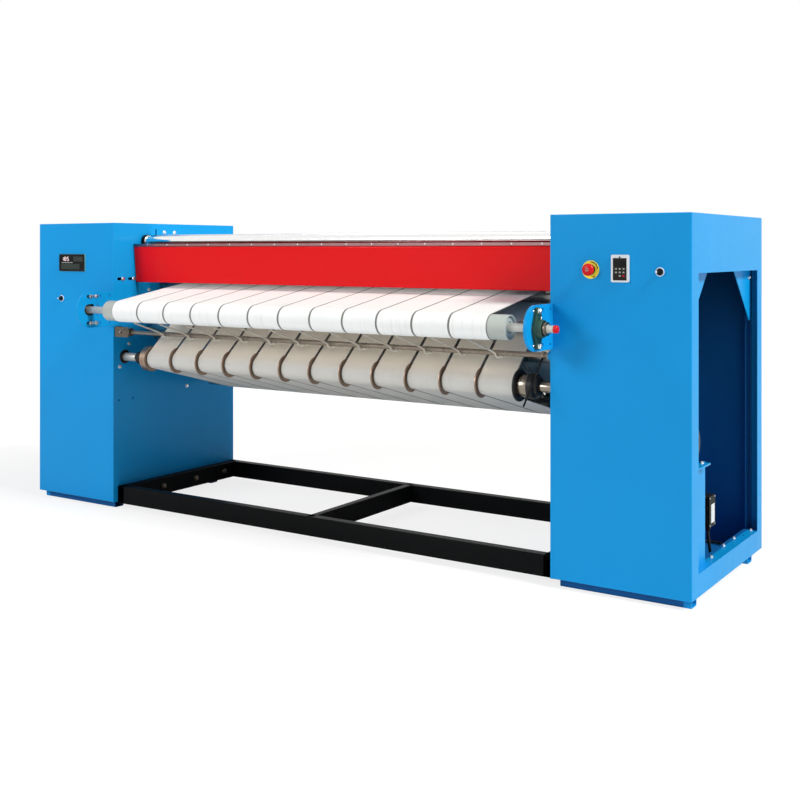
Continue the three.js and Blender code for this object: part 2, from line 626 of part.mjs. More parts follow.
/** The two triangular plates under the header. */
function gussets(side) {
  const x = CABINET_OUT - GUSSET_SETBACK;
  const top = HEADER_BOTTOM + 1;
  const ends = [CORNER_POST - FRAME_SHEET, CABINET_DEPTH - CORNER_POST + FRAME_SHEET];
  return ends.map((y, i) => {
    const inwards = i ? -1 : 1;
    const from = y - inwards * FRAME_SHEET;
    const shape = polygon([[from, top], [from, top - GUSSET_HEIGHT],
      [y + inwards * 14, top - GUSSET_HEIGHT], [y + inwards * GUSSET_LENGTH, top]]);
    const tab = block(outward(side, x - 1, CABINET_OUT - CORNER_POST + 1), [from, y + inwards * 12],
      [top - GUSSET_HEIGHT, top]);
    return join(plateX(shape, outward(side, x - FRAME_SHEET, x)), tab);
  });
}

/** Bezel ring of a selector, fixed to the cabinet's front face. */
const bezelRing = (place) => turnedFront([[-1, SELECTOR.stem + FIT_GAP + RUN_GAP],
  [SELECTOR.bezelT, SELECTOR.stem + FIT_GAP + RUN_GAP], [SELECTOR.bezelT, SELECTOR.bezel - 2],
  [SELECTOR.bezelT - 2, SELECTOR.bezel], [-1, SELECTOR.bezel],
  [-1, SELECTOR.stem + FIT_GAP + RUN_GAP]], place);

/** A round hole through the front face of a cabinet. */
const frontHole = (place, radius) => turnedFront([[1, 0], [1, radius],
  [-3 * CABINET_SHEET, radius], [-3 * CABINET_SHEET, 0]], place);

const onCabinet = (side, { x, drop }) => ({ x: side * CABINET_MID + x, z: MACHINE_HEIGHT - drop });

function leftCabinet() {
  const side = -1;
  const { casing, inside, opening } = cabinetShell(side);
  const knob = onCabinet(side, SELECTOR_LEFT);
  const display = onCabinet(side, CONTROLLER);
  const window = block([display.x - CONTROLLER_BODY.width / 2 - RUN_GAP,
    display.x + CONTROLLER_BODY.width / 2 + RUN_GAP], [-1, 2 * CABINET_SHEET],
  [display.z - CONTROLLER_BODY.height / 2 - RUN_GAP, display.z + CONTROLLER_BODY.height / 2 + RUN_GAP]);
  const lipBack = CABINET_OUT - COVER_SHEET - FIT_GAP;
  const lipShape = rectangle((OPENING_FRONT + OPENING_BACK) / 2, (SILL_TOP + HEADER_BOTTOM) / 2,
    OPENING_BACK - OPENING_FRONT + COVER_LIP, HEADER_BOTTOM - SILL_TOP + COVER_LIP);
  lipShape.holes.push(rectangle((OPENING_FRONT + OPENING_BACK) / 2, (SILL_TOP + HEADER_BOTTOM) / 2,
    OPENING_BACK - OPENING_FRONT - 2 * COVER_LIP, HEADER_BOTTOM - SILL_TOP - 2 * COVER_LIP));
  const lip = plateX(lipShape, outward(side, lipBack - FRAME_SHEET, lipBack));
  const shell = cut(casing, inside, opening, window, frontHole(knob, SELECTOR.bezel - 4));
  add('left_cabinet', join(shell, lip, bezelRing(knob)), BLUE);

  const cover = rectangle((OPENING_FRONT + OPENING_BACK) / 2, (SILL_TOP + HEADER_BOTTOM) / 2,
    OPENING_BACK - OPENING_FRONT - 2 * COVER_EDGE_GAP, HEADER_BOTTOM - SILL_TOP - 2 * COVER_EDGE_GAP);
  add('left_side_cover', plateX(cover, outward(side, CABINET_OUT - COVER_SHEET, CABINET_OUT)), BLUE);
}

function rightCabinet() {
  const side = 1;
  const t = CABINET_SHEET;
  const { casing, inside, opening } = cabinetShell(side);
  const knob = onCabinet(side, SELECTOR_RIGHT);
  const stop = onCabinet(side, ESTOP);
  const shell = cut(casing, inside, opening, frontHole(knob, SELECTOR.bezel - 4),
    frontHole(stop, ESTOP_BUTTON.stem + 2));
  const shelf = block([CABINET_IN + SHELF_INSET, CABINET_OUT - t / 2], [t / 2, SHELF_DEPTH],
    [SHELF_Z - SHELF_T, SHELF_Z]);
  const webX = CABINET_OUT - GUSSET_SETBACK;
  const shelfWeb = block([webX - FRAME_SHEET, webX], [t / 2, WEB_DEPTH],
    [FOOT_HEIGHT + t / 2, SHELF_Z - SHELF_T / 2]);
  const stiffener = block([CABINET_IN + SHELF_INSET, webX - 1],
    [SHELF_DEPTH - 2 * FRAME_SHEET, SHELF_DEPTH - FRAME_SHEET], [SHELF_Z - 42, SHELF_Z - SHELF_T / 2]);
  const glandZ = FOOT_HEIGHT + t + FIT_GAP + GLAND.rise;
  const gland = turnedFront([[-t / 2, 0], [-t / 2, GLAND.radius], [-t - GLAND.length, GLAND.radius],
    [-t - GLAND.length, 0]], { x: CABINET_OUT - GLAND.inset, z: glandZ });
  add('right_cabinet', join(shell, ...openingFrame(side), ...gussets(side), shelf, shelfWeb,
    stiffener, bezelRing(knob), gland), BLUE);
}

function footRails() {
  const ends = outward(1, CABINET_IN + FOOT_END_INSET, CABINET_OUT - FOOT_END_INSET);
  const rows = [['front', FOOT_FRONT_INSET],
    ['rear', CABINET_DEPTH - FOOT_REAR_INSET - FOOT_WIDTH]];
  for (const [sideName, side] of [['left', -1], ['right', 1]]) {
    for (const [rowName, y] of rows) {
      const height = FOOT_HEIGHT - FIT_GAP;
      const shape = rectangle(y + FOOT_WIDTH / 2, height / 2, FOOT_WIDTH, height);
      shape.holes.push(rectangle(y + FOOT_WIDTH / 2, height / 2,
        FOOT_WIDTH - 2 * FOOT_WALL, height - 2 * FOOT_WALL));
      add(`foot_rail_${rowName}_${sideName}`, plateX(shape, ends.map((x) => side * x)), BLUE);
    }
  }
}

// ------------------------------------------------------------------ base frame

function baseFrame() {
  const side = PLATE_IN - FIT_GAP;
  const inner = side - BEAM_WIDTH;
  const front = FRAME_FRONT_INSET;
  const back = CABINET_DEPTH - FRAME_REAR_INSET;
  const z = [BEAM_BOTTOM, BEAM_BOTTOM + BEAM_HEIGHT];
  const rails = [-1, 1].map((s) => block(outward(s, inner, side), [front, back], z));
  const beams = [[front, front + BEAM_WIDTH], [back - BEAM_WIDTH, back]]
    .map((y) => block([-side + 1, side - 1], y, z));
  const cross = block([CROSS_MEMBER_X - CROSS_MEMBER_WIDTH / 2, CROSS_MEMBER_X + CROSS_MEMBER_WIDTH / 2],
    [front + 1, back - 1], z);
  const boltYs = [0.32, 0.6, 0.86].map((share) => front + share * (back - front));
  const heads = [-1, 1].flatMap((s) => boltYs.map((y) => (
    hexHead(s * inner, -s, y, BEAM_BOTTOM + BEAM_HEIGHT / 2, BOLT_HEAD_RADIUS + 1, BOLT_HEAD_T))));
  add('base_frame', join(...rails, ...beams, cross, ...heads), BLACK_PAINT);
}

// ------------------------------------------------------------------ rollers

function feedRoller() {
  const half = (INNER_WIDTH - FEED_ROLLER_MARGIN) / 2;
  const [left, right] = [FEED_ROLLER_CENTRE_X - half, FEED_ROLLER_CENTRE_X + half];
  const r = FEED_ROLLER.radius;
  const shoulder = PLATE_OUT + HOUSING_HUB_LENGTH + COLLAR_LENGTH + 3;
  const leftEnd = -(shoulder + SHAFT_CAP_LENGTH);
  const rightEnd = PLATE_OUT + FEED_STUB_REACH;
  add('feed_roller', turned([
    [leftEnd, 0], [leftEnd, FEED_STUB_RADIUS], [-shoulder, FEED_STUB_RADIUS],
    [-shoulder, FEED_SHAFT_RADIUS],
    [left + FEED_RIM_DEPTH, FEED_SHAFT_RADIUS], [left + FEED_RIM_DEPTH, r - FEED_RIM],
    [left, r - FEED_RIM], [left, r], [right, r], [right, r - FEED_RIM],
    [right - FEED_RIM_DEPTH, r - FEED_RIM], [right - FEED_RIM_DEPTH, FEED_SHAFT_RADIUS],
    [shoulder, FEED_SHAFT_RADIUS], [shoulder, FEED_STUB_RADIUS],
    [rightEnd, FEED_STUB_RADIUS], [rightEnd, CAP_RADIUS], [rightEnd + SHAFT_CAP_LENGTH - 3, CAP_RADIUS],
    [rightEnd + SHAFT_CAP_LENGTH, CAP_RADIUS - 3], [rightEnd + SHAFT_CAP_LENGTH, 0]], FEED_ROLLER),
  GREY_PAINT);
}

/** A plain roller whose journals run in the bosses of both side plates. */
function plainRoller(name, roller, look) {
  const end = PLATE_IN - ROLLER_END_GAP;
  add(name, turned([
    [-JOURNAL_END, 0], [-JOURNAL_END, JOURNAL_RADIUS], [-end, JOURNAL_RADIUS], [-end, roller.radius],
    [end, roller.radius], [end, JOURNAL_RADIUS], [JOURNAL_END, JOURNAL_RADIUS], [JOURNAL_END, 0],
  ], roller, SMALL_ROUND), look);
}

/** The front delivery roller, with a guide ring in each gap of the belts and stepped journals. */
function deliveryRoller() {
  const r = DELIVERY_ROLLER.radius;
  const ring = GUIDE_RING_RADIUS;
  const flangeR = DELIVERY_BELT_END + FLANGE_BELT_GAP;
  const wideR = DELIVERY_BELT_START - GUIDE_RING_CLEARANCE;
  const wideL = wideR - END_RING_LENGTH;
  const j = JOURNAL_RADIUS;
  const guides = Array.from({ length: BELT_COUNT - 1 }, (_, i) => {
    const from = DELIVERY_BELT_START + i * BELT_PITCH + DELIVERY_BELT_WIDTH + GUIDE_RING_CLEARANCE;
    const to = from + DELIVERY_BELT_GAP - 2 * GUIDE_RING_CLEARANCE;
    return [[from, r], [from, ring], [to, ring], [to, r]];
  }).flat();
  add('delivery_roller', turned([
    [-JOURNAL_END, 0], [-JOURNAL_END, j], [wideL - 64, j], [wideL - 54, LEFT_HUB_RADIUS],
    [wideL - 50, LEFT_RING_RADIUS], [wideL - 22, LEFT_RING_RADIUS], [wideL - 22, LEFT_HUB_RADIUS],
    [wideL, LEFT_HUB_RADIUS], [wideL, ring], [wideR, ring], [wideR, r], ...guides,
    [flangeR, r], [flangeR, FLANGE_RADIUS], [flangeR + FLANGE_T, FLANGE_RADIUS],
    [flangeR + FLANGE_T, HUB_RADIUS], [flangeR + 46, HUB_RADIUS], [flangeR + 46, RIGHT_RING_RADIUS],
    [flangeR + 68, RIGHT_RING_RADIUS], [flangeR + 72, HUB_RADIUS - 8], [flangeR + 82, HUB_RADIUS - 8],
    [flangeR + 84, j + 5], [PLATE_IN - 8, j + 5], [PLATE_IN - 8, j], [JOURNAL_END, j],
    [JOURNAL_END, 0]], DELIVERY_ROLLER, RING_ROUND), DARK_STEEL);
}

function drum() {
  const end = PLATE_IN - DRUM_END_GAP;
  const inner = end - DRUM_END_PLATE;
  const left = -(PLATE_OUT + BOSS_LENGTH + 6);
  const right = CHAIN_LINE + SPROCKET_T / 2 + 12;
  const cavity = DRUM.radius - DRUM_SHELL;
  add('drum', turned([
    [left, DRUM_BORE_RADIUS], [left, DRUM_JOURNAL_RADIUS], [-end, DRUM_JOURNAL_RADIUS],
    [-end, DRUM.radius], [end, DRUM.radius], [end, DRUM_JOURNAL_RADIUS],
    [right, DRUM_JOURNAL_RADIUS], [right, DRUM_BORE_RADIUS], [inner, DRUM_BORE_RADIUS],
    [inner, cavity], [-inner, cavity], [-inner, DRUM_BORE_RADIUS], [left, DRUM_BORE_RADIUS],
  ], DRUM, DRUM_ROUND), STAINLESS);
}

// ------------------------------------------------------------------ feed bearings

/** Two-bolt oval flange bearing on the outer face of an ear, with its bolts and collar. */
function feedBearing(side, name) {
  const base = PLATE_OUT + FIT_GAP;
  const hub = PLATE_OUT + HOUSING_HUB_LENGTH;
  const rise = HOUSING_BOLT_SPACING / 2;
  const lobe = (HOUSING_HEIGHT - HOUSING_BOLT_SPACING) / 2;
  const { y, z } = FEED_ROLLER;
  const waist = HOUSING_WIDTH / 2;
  const lean = Math.asin((waist - lobe) / rise);
  const shape = polygon([
    ...arc(y, z + rise, lobe, lean, Math.PI - lean, 6),
    ...arc(y, z, waist, Math.PI - lean, Math.PI + lean, 5),
    ...arc(y, z - rise, lobe, Math.PI + lean, Math.PI * 2 - lean, 6),
    ...arc(y, z, waist, -lean, lean, 5)]);
  const bore = boreRadius(FEED_SHAFT_RADIUS, SMALL_ROUND);
  shape.holes.push(circle(y, z, bore, SMALL_ROUND));
  const flange = plateX(shape, outward(side, base, base + HOUSING_BASE));

  const ring = (from, to, radius) => {
    const outline = circle(y, z, radius, ROUND);
    outline.holes.push(circle(y, z, bore, SMALL_ROUND));
    return plateX(outline, outward(side, from, to));
  };
  const bolts = [rise, -rise].flatMap((dz) => {
    const shank = turned([[side * (PLATE_IN - 6), 0], [side * (PLATE_IN - 6), BOLT_RADIUS],
      [side * (base + 2), BOLT_RADIUS], [side * (base + 2), 0]], { y, z: z + dz }, HEX);
    const nut = turned([[side * (PLATE_IN - FIT_GAP - BOLT_HEAD_T), 0],
      [side * (PLATE_IN - FIT_GAP - BOLT_HEAD_T), BOLT_HEAD_RADIUS],
      [side * (PLATE_IN - FIT_GAP), BOLT_HEAD_RADIUS], [side * (PLATE_IN - FIT_GAP), 0]],
    { y, z: z + dz }, HEX);
    return [shank, nut, hexHead(side * (base + HOUSING_BASE), side, y, z + dz, BOLT_HEAD_RADIUS - 1)];
  });
  add(name, join(flange, ring(base, hub, HOUSING_HUB_RADIUS),
    ring(hub - 2, hub + COLLAR_LENGTH, COLLAR_RADIUS), ...bolts), GREEN_IRON);
}

// ------------------------------------------------------------------ finger bar

/** A path that runs straight from one given point to the next, with a step on each. */
class Bends extends THREE.Curve {
  constructor(points) {
    super();
    this.points = points;
  }

  getPoint(t) {
    const along = t * (this.points.length - 1);
    const i = Math.min(Math.floor(along), this.points.length - 2);
    return this.points[i].clone().lerp(this.points[i + 1], along - i);
  }

  getPointAt(t) {
    return this.getPoint(t);
  }

  getTangentAt(t) {
    const [last, i] = [this.points.length - 1, Math.round(t * (this.points.length - 1))];
    const way = (k) => this.points[k + 1].clone().sub(this.points[k]).normalize();
    if (i === 0 || i === last) return way(i === 0 ? 0 : last - 1);
    return way(i - 1).add(way(i)).normalize();
  }
}

/** One bent-wire finger: tip under the feed roller, lapped over the bar and hooked below it. */
function finger(x) {
  const r = FINGER_BAR.radius;
  const { y, z } = FINGER_BAR;
  const at = (dx, py, pz) => new THREE.Vector3(x + dx, py, pz);
  const bends = new Bends([
    at(-FINGER_SLANT, FINGER_TIP.y, FINGER_TIP.z), at(0, y - r - 3, z + 3), at(2, y - r - 1.5, z - 5),
    at(5, y - r * 0.4, z - r - 0.5), at(FINGER_HOOK, y, z - r - 0.5)]);
  return wire(bends, FINGER_WIRE_RADIUS, WIRE_SIDES, bends.points.length - 1);
}

/** A round bar of few sides along a path. */
function wire(path, radius, sides, steps) {
  const section = circle(0, 0, radius, sides);
  return new THREE.ExtrudeGeometry(section, { steps, bevelEnabled: false, extrudePath: path });
}

function fingerBar() {
  const { y, z, radius } = FINGER_BAR;
  const right = PLATE_IN - 1;
  const left = -(PLATE_IN - FINGER_BAR_INSET);
  const bar = turned([[left, 0], [left, radius], [right, radius], [right, 0]], FINGER_BAR, SMALL_ROUND);
  const hubX = PLATE_IN - LEVER_INSET;
  const hub = turned([[hubX - LEVER_HUB_T, 0], [hubX - LEVER_HUB_T, radius + LEVER_HUB_WALL],
    [hubX, radius + LEVER_HUB_WALL], [hubX, 0]], FINGER_BAR, SMALL_ROUND);
  const lever = wire(new THREE.LineCurve3(
    new THREE.Vector3(hubX - LEVER_HUB_T / 2, y, z),
    new THREE.Vector3(hubX - LEVER_HUB_T / 2, y - LEVER_LENGTH * Math.cos(LEVER_ANGLE),
      z - LEVER_LENGTH * Math.sin(LEVER_ANGLE))), LEVER_RADIUS, 8, 1);
  const fingers = Array.from({ length: FINGER_COUNT }, (_, i) => finger(
    FIRST_BELT_X + FINGER_LEAD + i * (BELT_PITCH - FINGER_PITCH_LESS)));
  add('finger_bar', join(bar, hub, lever, ...fingers), STEEL);
}

/** Lug ring that the finger bar turns in, between two X planes. */
function barLug([xa, xb]) {
  const { y, z, radius } = FINGER_BAR;
  const ring = circle(y, z, FINGER_LUG_RADIUS);
  ring.holes.push(circle(y, z, boreRadius(radius, SMALL_ROUND)));
  return plateX(ring, [xa, xb]);
}

function fingerBracket() {
  const wall = PLATE_IN - FIT_GAP;
  const lugX = -(PLATE_IN - FINGER_BAR_INSET) + FINGER_BAR_OVERRUN;
  const webY = FINGER_BAR.y - FINGER_LUG_RADIUS + 2;
  const zs = [FINGER_BAR.z - BRACKET_HEIGHT / 2, FINGER_BAR.z + BRACKET_HEIGHT / 2];
  const web = block([-wall, lugX + FINGER_LUG_T / 2], [webY, webY + BRACKET_T], zs);
  const foot = block([-wall, -wall + BRACKET_T], [webY, webY + BRACKET_FOOT], zs);
  const slotX = -wall + 34;
  const slotCut = plateY(slot(slotX, FINGER_BAR.z, 26, 11), [webY - 1, webY + BRACKET_T + 1]);
  const footHead = hexHead(-wall + BRACKET_T, 1, webY + BRACKET_FOOT * 0.7, FINGER_BAR.z, 7, 5);
  add('finger_bracket_left', join(cut(web, slotCut), foot, footHead,
    barLug([lugX, lugX + FINGER_LUG_T])), STEEL);
}

// ------------------------------------------------------------------ guard, tube and hood

function guard() {
  const k = GUARD_KNUCKLE;
  const t = GUARD_SHEET;
  const h = GUARD_HEIGHT;
  const inner = Math.sqrt(k * k - (k - t) * (k - t));
  const shape = polygon([[-k, -h], [-k + GUARD_FLANGE, -h], [-k + GUARD_FLANGE, -h + t],
    [-k + t, -h + t], ...arc(0, 0, k, Math.atan2(-inner, -k + t), Math.PI, 10)]);
  const half = PLATE_IN - GUARD_END_GAP;
  const hinge = new THREE.Group();
  hinge.position.set(0, GUARD_HINGE.y, GUARD_HINGE.z);
  hinge.rotation.x = GUARD_TILT;
  machine.add(hinge);
  add('guard_panel', plateX(shape, [-half, half]), RED, hinge);

  const low = GUARD_HINGE.z + GUARD_KNUCKLE + FIT_GAP;
  const face = GUARD_HINGE.y - GUARD_KNUCKLE;
  const s = GUARD_RAIL_SHEET;
  const angle = polygon([[face, low], [face + GUARD_RAIL_DEPTH, low], [face + GUARD_RAIL_DEPTH, low + s],
    [face + s, low + s], [face + s, low + GUARD_RAIL_HEIGHT], [face, low + GUARD_RAIL_HEIGHT]]);
  const wall = PLATE_IN - FIT_GAP;
  add('guard_rail', plateX(angle, [-wall, wall]), STAINLESS);
}

function topTube() {
  const wall = PLATE_IN - FIT_GAP;
  const collar = wall - TUBE_COLLAR_LENGTH;
  const { radius } = TOP_TUBE;
  add('top_tube', turned([
    [-wall, 0], [-wall, TUBE_COLLAR_RADIUS], [-collar, TUBE_COLLAR_RADIUS], [-collar, radius],
    [collar, radius], [collar, TUBE_COLLAR_RADIUS], [wall, TUBE_COLLAR_RADIUS], [wall, 0],
  ], TOP_TUBE), STAINLESS);
}

/** One folded sheet over the drum: front lip, top, back and a short bottom flange. */
function hood() {
  const t = HOOD_SHEET;
  const back = CABINET_DEPTH - HOOD_BACK_INSET;
  const [front, top] = [HOOD_FRONT_BACK, MACHINE_HEIGHT - HOOD_DROP];
  const low = top - HOOD_HEIGHT;
  const shape = polygon([
    [front, top - HOOD_FRONT_LIP], [front + t, top - HOOD_FRONT_LIP], [front + t, top - t],
    [back - t, top - t], [back - t, low + t], [back - HOOD_REAR_FLANGE, low + t],
    [back - HOOD_REAR_FLANGE, low], [back, low], [back, top], [front, top]]);
  const wall = PLATE_IN - FIT_GAP;
  add('hood', plateX(shape, [-wall, wall]), STAINLESS);
}

// ------------------------------------------------------------------ drum drive

const pitchRadius = (teeth) => CHAIN_PITCH / (2 * Math.sin(Math.PI / teeth));
const TOOTH_RISE = 4.5;
const TOOTH_DROP = 6.5;

/** A sprocket of the chain's pitch, between two X planes, with a bore for its shaft. */
function sprocket(teeth, at, bore) {
  const pitch = pitchRadius(teeth);
  const levels = [[0.0, TOOTH_RISE], [0.34, -TOOTH_DROP], [0.66, -TOOTH_DROP]];
  const shape = polygon(Array.from({ length: teeth }).flatMap((_, i) => levels.map(([share, rise]) => {
    const a = ((i + share) / teeth) * Math.PI * 2;
    return [at.y + (pitch + rise) * Math.cos(a), at.z + (pitch + rise) * Math.sin(a)];
  })));
  const lightening = teeth > 24 ? 6 : 0;
  const holeRing = (pitch + bore) / 2;
  for (let i = 0; i < lightening; i += 1) {
    const a = (i / lightening) * Math.PI * 2;
    shape.holes.push(circle(at.y + holeRing * Math.cos(a), at.z + holeRing * Math.sin(a),
      holeRing / 4, HEX));
  }
  shape.holes.push(circle(at.y, at.z, bore));
  return plateX(shape, [CHAIN_LINE - SPROCKET_T / 2, CHAIN_LINE + SPROCKET_T / 2]);
}

/** The roller chain as one endless strand whose link plates swell at every pin. */
function driveChain(small, large) {
  const riding = (rise) => [small, large].map(({ y, z, teeth }) => (
    { y, z, radius: (pitchRadius(teeth) + TOOTH_RISE + FIT_GAP) / Math.cos(BELT_STEP / 2) + rise }));
  const inner = tautLoop(riding(0), BELT_STEP);
  const links = Math.round(loopLength(inner) / CHAIN_PITCH);
  const outer = evenly(inner, links).map(({ point, normal }, i) => {
    const height = CHAIN_PLATE_HEIGHT - (i % 2 ? 2 * CHAIN_WAIST : 0);
    return [point[0] + normal[0] * height, point[1] + normal[1] * height];
  });
  const shape = polygon(outer);
  shape.holes.push(polygon(inner));
  add('drive_chain', plateX(shape, [CHAIN_LINE - CHAIN_WIDTH / 2, CHAIN_LINE + CHAIN_WIDTH / 2]), DARK_STEEL);
}

function loopLength(points) {
  return points.reduce((sum, p, i) => {
    const q = points[(i + 1) % points.length];
    return sum + Math.hypot(q[0] - p[0], q[1] - p[1]);
  }, 0);
}

/** Evenly spaced places along a counter-clockwise loop, each with its outward normal. */
function evenly(points, count) {
  const step = loopLength(points) / count;
  const places = [];
  let travelled = 0;
  let next = 0;
  points.forEach((p, i) => {
    const q = points[(i + 1) % points.length];
    const length = Math.hypot(q[0] - p[0], q[1] - p[1]);
    const normal = [(q[1] - p[1]) / length, -(q[0] - p[0]) / length];
    while (next < travelled + length - 1e-6 && places.length < count) {
      const share = (next - travelled) / length;
      places.push({ point: [p[0] + (q[0] - p[0]) * share, p[1] + (q[1] - p[1]) * share], normal });
      next += step;
    }
    travelled += length;
  });
  return places;
}

function gearMotor() {
  const near = PLATE_OUT + GEARBOX_PLATE_GAP;
  const far = near + GEARBOX_LENGTH;
  const end = CABINET_OUT - MOTOR_END_GAP;
  const shaftTip = CHAIN_LINE - SPROCKET_T / 2 - 2;
  const box = plateX(rectangle(MOTOR_Y, MOTOR_Z, GEARBOX_SIZE, GEARBOX_SIZE, 14), [near, far]);
  const nose = turned([[near - 16, 0], [near - 16, 44], [near + 2, 50], [near + 2, 0]],
    { y: MOTOR_Y, z: MOTOR_Z });
  const ribStep = Math.PI / MOTOR_RIBS;
  const barrel = polygon(Array.from({ length: MOTOR_RIBS * 2 }).flatMap((_, i) => {
    const r = MOTOR_RADIUS + (i % 2 ? 0 : -MOTOR_RIB_HEIGHT);
    return arc(MOTOR_Y, MOTOR_Z, r, (i + 0.05) * ribStep, (i + 0.95) * ribStep, 1);
  }));
  const ribs = plateX(barrel, [far - 2, end - MOTOR_COWL + 2]);
  const cowl = turned([[end - MOTOR_COWL, 0], [end - MOTOR_COWL, MOTOR_RADIUS + 3], [end - 8, MOTOR_RADIUS + 3],
    [end, MOTOR_RADIUS - 8], [end, 0]], { y: MOTOR_Y, z: MOTOR_Z });
  const middle = (far + end - MOTOR_COWL) / 2;
  const terminalBox = block([middle - TERMINAL_BOX / 2, middle + TERMINAL_BOX / 2],
    [MOTOR_Y - TERMINAL_BOX / 2, MOTOR_Y + TERMINAL_BOX / 2],
    [MOTOR_Z + MOTOR_RADIUS - TERMINAL_SEAT, MOTOR_Z + MOTOR_RADIUS + TERMINAL_RISE]);
  add('gear_motor', join(box, nose, ribs, cowl, terminalBox), MOTOR_PAINT);

  const at = { y: MOTOR_Y, z: MOTOR_Z };
  const wheel = sprocket(MOTOR_TEETH, at, MOTOR_SHAFT_RADIUS - 1);
  const shaft = turned([[shaftTip, 0], [shaftTip, MOTOR_SHAFT_RADIUS],
    [near - 16 - FIT_GAP, MOTOR_SHAFT_RADIUS], [near - 16 - FIT_GAP, 0]], at);
  add('motor_sprocket', join(wheel, shaft), DARK_STEEL);
  add('drum_sprocket', sprocket(DRUM_TEETH, DRUM,
    boreRadius(DRUM_JOURNAL_RADIUS, SMALL_ROUND)), DARK_STEEL);
  driveChain({ ...at, teeth: MOTOR_TEETH }, { ...DRUM, teeth: DRUM_TEETH });
}

// ------------------------------------------------------------------ controls

function emergencyStop() {
  const place = onCabinet(1, ESTOP);
  const bore = boreRadius(ESTOP_BUTTON.stem, ROUND);
  const { ring, ringT, collar, collarLength } = ESTOP;
  add('estop_base', turnedFront([[FIT_GAP, bore], [FIT_GAP, ring], [ringT, ring],
    [ringT + 0.6, ring - 1], [ringT + 0.6, collar], [collarLength, collar - 1],
    [collarLength, bore], [FIT_GAP, bore]], place, ROUND), YELLOW);
  const { radius, length, stem, travel, crown } = ESTOP_BUTTON;
  const under = collarLength + travel + 1;
  add('estop_button', turnedFront([[1, 0], [1, stem], [under, stem], [under, radius - 2],
    [under + 2, radius], [under + length - 3, radius], [under + length, radius - 5],
    [under + length + crown, radius - 12], [under + length + crown, 0]], place, ROUND), RED);
}

function keypad() {
  const { x, z } = onCabinet(1, KEYPAD);
  const { width, height, depth, corner } = KEYPAD;
  const frame = plateY(rectangle(x, z, width, height, corner), [-FIT_GAP - depth, -FIT_GAP]);
  const recess = plateY(rectangle(x, z, KEYPAD_WINDOW.width, KEYPAD_WINDOW.height),
    [-FIT_GAP - depth - 1, -FIT_GAP - depth + KEYPAD_WINDOW.depth]);
  const floor = -FIT_GAP - depth + KEYPAD_WINDOW.depth;
  const { size, pitch, rise, rows, columns, topDrop } = KEYPAD_KEY;
  const keys = [];
  for (let row = 0; row < rows; row += 1) {
    for (let column = 0; column < columns; column += 1) {
      const cx = x + (column - (columns - 1) / 2) * pitch;
      const cz = z + KEYPAD_WINDOW.height / 2 - topDrop - row * pitch;
      keys.push(plateY(rectangle(cx, cz, size, size, 2, 1), [floor - rise, floor + 0.5]));
    }
  }
  add('keypad', join(cut(frame, recess), ...keys), PALE_PLASTIC);
}

function selectorKnob(side, spot, name) {
  const place = onCabinet(side, spot);
  const { bezelT, stem, disc, discT, grip, gripT } = SELECTOR;
  const front = bezelT + FIT_GAP;
  const body = turnedFront([[-CABINET_SHEET, 0], [-CABINET_SHEET, stem], [front, stem],
    [front, disc], [front + discT, disc], [front + discT, 0]], place);
  const handle = block([place.x - disc + 0.6, place.x + disc - 0.6],
    [-(front + discT + gripT), -(front + discT) + 0.5], [place.z - grip / 2, place.z + grip / 2]);
  add(name, join(body, handle), BLACK_PLASTIC);
}

function temperatureController() {
  const { x, z } = onCabinet(-1, CONTROLLER);
  const { width, height, rim, rimT, recess } = CONTROLLER;
  const bezel = plateY(rectangle(x, z, width, height, 3), [-FIT_GAP - rimT, -FIT_GAP]);
  const window = plateY(rectangle(x, z, width - 2 * rim, height - 2 * rim),
    [-FIT_GAP - rimT - 1, -FIT_GAP - rimT + recess]);
  const body = block([x - CONTROLLER_BODY.width / 2, x + CONTROLLER_BODY.width / 2],
    [-FIT_GAP - 1, CONTROLLER_BODY.depth],
    [z - CONTROLLER_BODY.height / 2, z + CONTROLLER_BODY.height / 2]);
  add('temperature_controller', join(cut(bezel, window), body), BLACK_PLASTIC);
}

// ------------------------------------------------------------------ control box and cable

